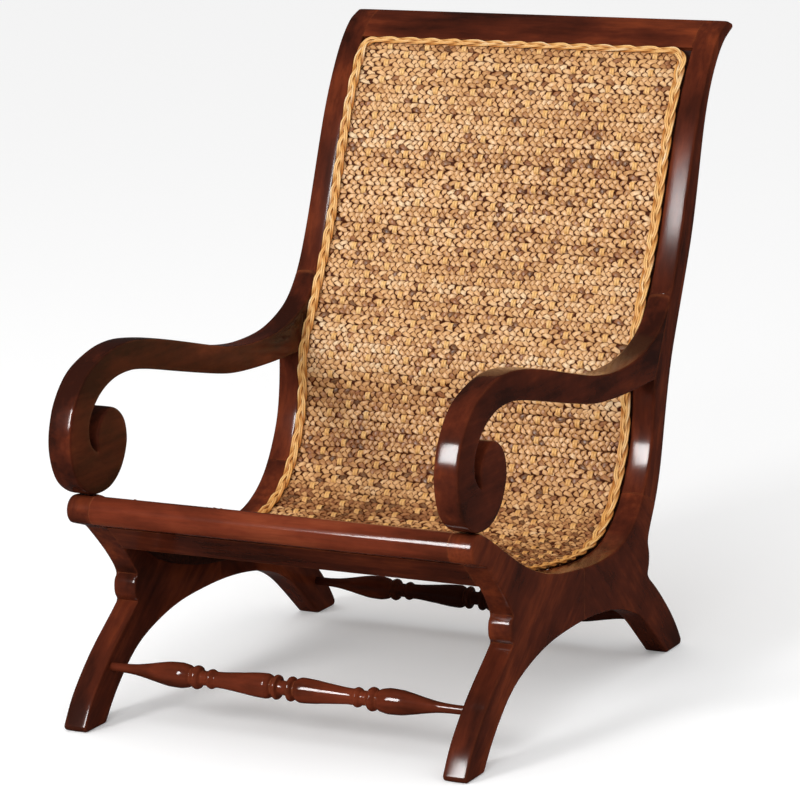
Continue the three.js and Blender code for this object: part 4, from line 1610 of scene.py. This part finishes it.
@dataclass
class Studio:
    """The camera at the photograph's viewing angle, a pale floor, and soft light."""

    place: tuple[float, float, float] = (2.5013, -5.1064, 1.6099)
    yaw: float = 26.24
    pitch: float = 11.59
    roll: float = -0.81
    lens: float = 164.36
    sensor_width: float = 36.0
    farthest: float = 200.0
    floor_size: float = 60.0
    floor_tone: float = 0.95
    floor_glow: float = 0.14
    bounced_tone: float = 0.5
    mirrored_tone: float = 0.06
    lit_height: float = 0.5
    glow: float = 0.82
    seen_glow: float = 0.97
    mirrored_glow: float = 0.03

    white: ClassVar[tuple[float, float, float, float]] = (1.0, 1.0, 1.0, 1.0)
    lights: ClassVar[tuple[Softbox, ...]] = (
        Softbox("key", (-1.75, -4.3, 2.5), width=1.0, height=1.2, power=95.0),
        Softbox("fill", (0.6, -4.0, 2.6), width=2.0, height=2.0, power=45.0),
        Softbox("shine", (-1.35, -4.3, 2.65), width=1.15, height=1.8, power=640.0, only_shine=True),
    )

    def camera(self) -> None:
        """Sets the camera."""
        yaw, pitch, roll = (math.radians(angle) for angle in (self.yaw, self.pitch, self.roll))
        ahead = Vector((-math.sin(yaw) * math.cos(pitch), math.cos(yaw) * math.cos(pitch), -math.sin(pitch)))
        level = Vector((math.cos(yaw), math.sin(yaw), 0.0))
        upright = level.cross(ahead)
        right = math.cos(roll) * level + math.sin(roll) * upright
        above = math.cos(roll) * upright - math.sin(roll) * level
        data = bpy.data.cameras.new("camera")
        data.lens = self.lens
        data.sensor_width = self.sensor_width
        data.clip_end = self.farthest
        made = bpy.data.objects.new("camera", data)
        turn = Matrix((right, above, -ahead)).transposed().to_4x4()
        made.matrix_world = Matrix.Translation(self.place) @ turn
        bpy.context.scene.collection.objects.link(made)
        bpy.context.scene.camera = made

    def floor(self) -> None:
        """Lays the floor, which looks brighter to the camera than it lights the chair."""
        half = self.floor_size / 2
        mesh = bpy.data.meshes.new("floor")
        corners = [(-half, -half, 0.0), (half, -half, 0.0), (half, half, 0.0), (-half, half, 0.0)]
        mesh.from_pydata(corners, [], [(0, 1, 2, 3)])
        paint = Paint("floor", {"Roughness": 0.9, "Specular IOR Level": 0.1, "Emission Color": self.white})
        graph = paint.graph
        ray = graph.node("ShaderNodeLightPath").outputs
        tone = graph.mixed(ray["Is Diffuse Ray"], (self.floor_tone,) * 3, (self.bounced_tone,) * 3)
        tone = graph.mixed(ray["Is Glossy Ray"], tone, (self.mirrored_tone,) * 3)
        paint.show("Base Color", tone)
        paint.show("Emission Strength", graph.times(ray["Is Camera Ray"], self.floor_glow))
        mesh.materials.append(paint.material)
        made = bpy.data.objects.new("floor", mesh)
        bpy.context.scene.collection.objects.link(made)

    def light(self) -> None:
        """Hangs the lights and sets the glow of the room."""
        for light in self.lights:
            light.build(Vector((0.0, 0.0, self.lit_height)))
        world = bpy.data.worlds.new("studio")
        world.use_nodes = True
        graph = Graph(world.node_tree)
        ray = graph.node("ShaderNodeLightPath").outputs
        seen = graph.times(ray["Is Camera Ray"], self.seen_glow - self.glow)
        mirrored = graph.times(ray["Is Glossy Ray"], self.mirrored_glow - self.glow)
        sky = world.node_tree.nodes["Background"]
        graph.feed(sky.inputs["Strength"], graph.plus(self.glow, seen, mirrored))
        sky.inputs["Color"].default_value = self.white
        bpy.context.scene.world = world
        bpy.context.scene.view_settings.view_transform = "Standard"

    def build(self) -> None:
        """Builds the whole studio."""
        self.camera()
        self.floor()
        self.light()


POLISHED = Mahogany(
    "mahogany",
    dark=(0.028, 0.0075, 0.0045),
    middle=(0.088, 0.0175, 0.0078),
    red=(0.22, 0.043, 0.014),
    rubbed=(0.26, 0.07, 0.024),
)
RUBBED = Mahogany(
    "worn_mahogany",
    dark=(0.06, 0.013, 0.006),
    middle=(0.15, 0.028, 0.012),
    red=(0.25, 0.055, 0.022),
    rubbed=(0.38, 0.12, 0.045),
    wear=0.8,
    roughness=0.26,
    coat_roughness=0.1,
)
HYACINTH = DriedStem(
    "hyacinth_plait",
    tones=(
        (0.0, (0.05, 0.014, 0.007)),
        (0.2, (0.25, 0.075, 0.025)),
        (0.4, (0.62, 0.32, 0.12)),
        (0.65, (0.88, 0.52, 0.24)),
        (1.0, (0.97, 0.76, 0.48)),
    ),
    line_colour=(0.5, 0.24, 0.09),
    lines=26.0,
    line_depth=0.35 * MM,
    coat_roughness=0.4,
    edge_and_shade_colour=(0.1, 0.02, 0.004),
    rim_share=0.95,
    rim_span=(0.52, 0.96),
    sunk_shade_share=0.9,
)
CANE = DriedStem(
    "flat_cane",
    tones=((0.0, (0.62, 0.28, 0.07)), (0.5, (0.9, 0.52, 0.18)), (1.0, (0.97, 0.7, 0.33))),
    line_colour=(0.6, 0.3, 0.1),
    lines=30.0,
    line_depth=0.12 * MM,
    coat_roughness=0.45,
    edge_and_shade_colour=(0.45, 0.2, 0.06),
    rim_share=0.3,
)
RATTAN = DriedStem(
    "rattan_border",
    tones=(
        (0.0, (0.48, 0.16, 0.03)),
        (0.4, (0.78, 0.37, 0.085)),
        (0.7, (0.92, 0.58, 0.22)),
        (1.0, (0.98, 0.85, 0.6)),
    ),
    line_colour=(0.6, 0.3, 0.1),
    lines=30.0,
    line_depth=0.15 * MM,
    coat_roughness=0.42,
    edge_and_shade_colour=(0.38, 0.12, 0.022),
    rim_share=0.85,
    sunk_shade_share=0.8,
)
# The rows' hearts show only in the gaps between strands, and their dark colour is painted shade there.
HEART_SHADE = DriedStem(
    "heart_painted_shade",
    tones=((0.0, (0.08, 0.018, 0.005)), (1.0, (0.16, 0.042, 0.012))),
    line_colour=(0.04, 0.01, 0.004),
    lines=40.0,
    line_depth=0.3 * MM,
    coat_roughness=0.8,
    gloss=0.0,
)


def main() -> None:
    """Builds the studio and each sub-assembly in order."""
    Studio().build()
    effects = SharedEffects()
    for piece in FrameWood(POLISHED, RUBBED).dress(effects):
        log.info("frame wood: %s", piece.name)
    turning = TurnedStretcher.tree()
    for name, slot, finish, shade in (
        ("front_stretcher", "worn_mahogany", RUBBED, 0.08),
        # The rear stretcher's colours move furthest to the dark end, as painted shade under the seat.
        ("rear_stretcher", "mahogany", POLISHED, 0.15),
    ):
        material = finish.material(effects, Grain.CROSS, shade)
        piece = TurnedStretcher(name, slot).build(turning, material)
        log.info("stretcher: %s", piece.name)
    seat = SeatLine(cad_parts["woven_mat"])
    half_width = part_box("woven_mat")[1][0]
    finishes = [stem.material(effects) for stem in (HYACINTH, HEART_SHADE, CANE)]
    for piece in WovenMat(seat, half_width).build(*finishes):
        log.info("woven mat: %s, %d faces", piece.name, len(piece.data.polygons))
    piece = BorderPlait(seat, half_width).build(RATTAN.material(effects))
    log.info("border: %s, %d faces", piece.name, len(piece.data.polygons))
    log.info("hidden parts: %d", HiddenParts(PlainWood(), ScrewSteel()).dress(effects))


if __name__ == "__main__":
    logging.basicConfig(level=logging.INFO, format="%(name)s: %(message)s")
    main()
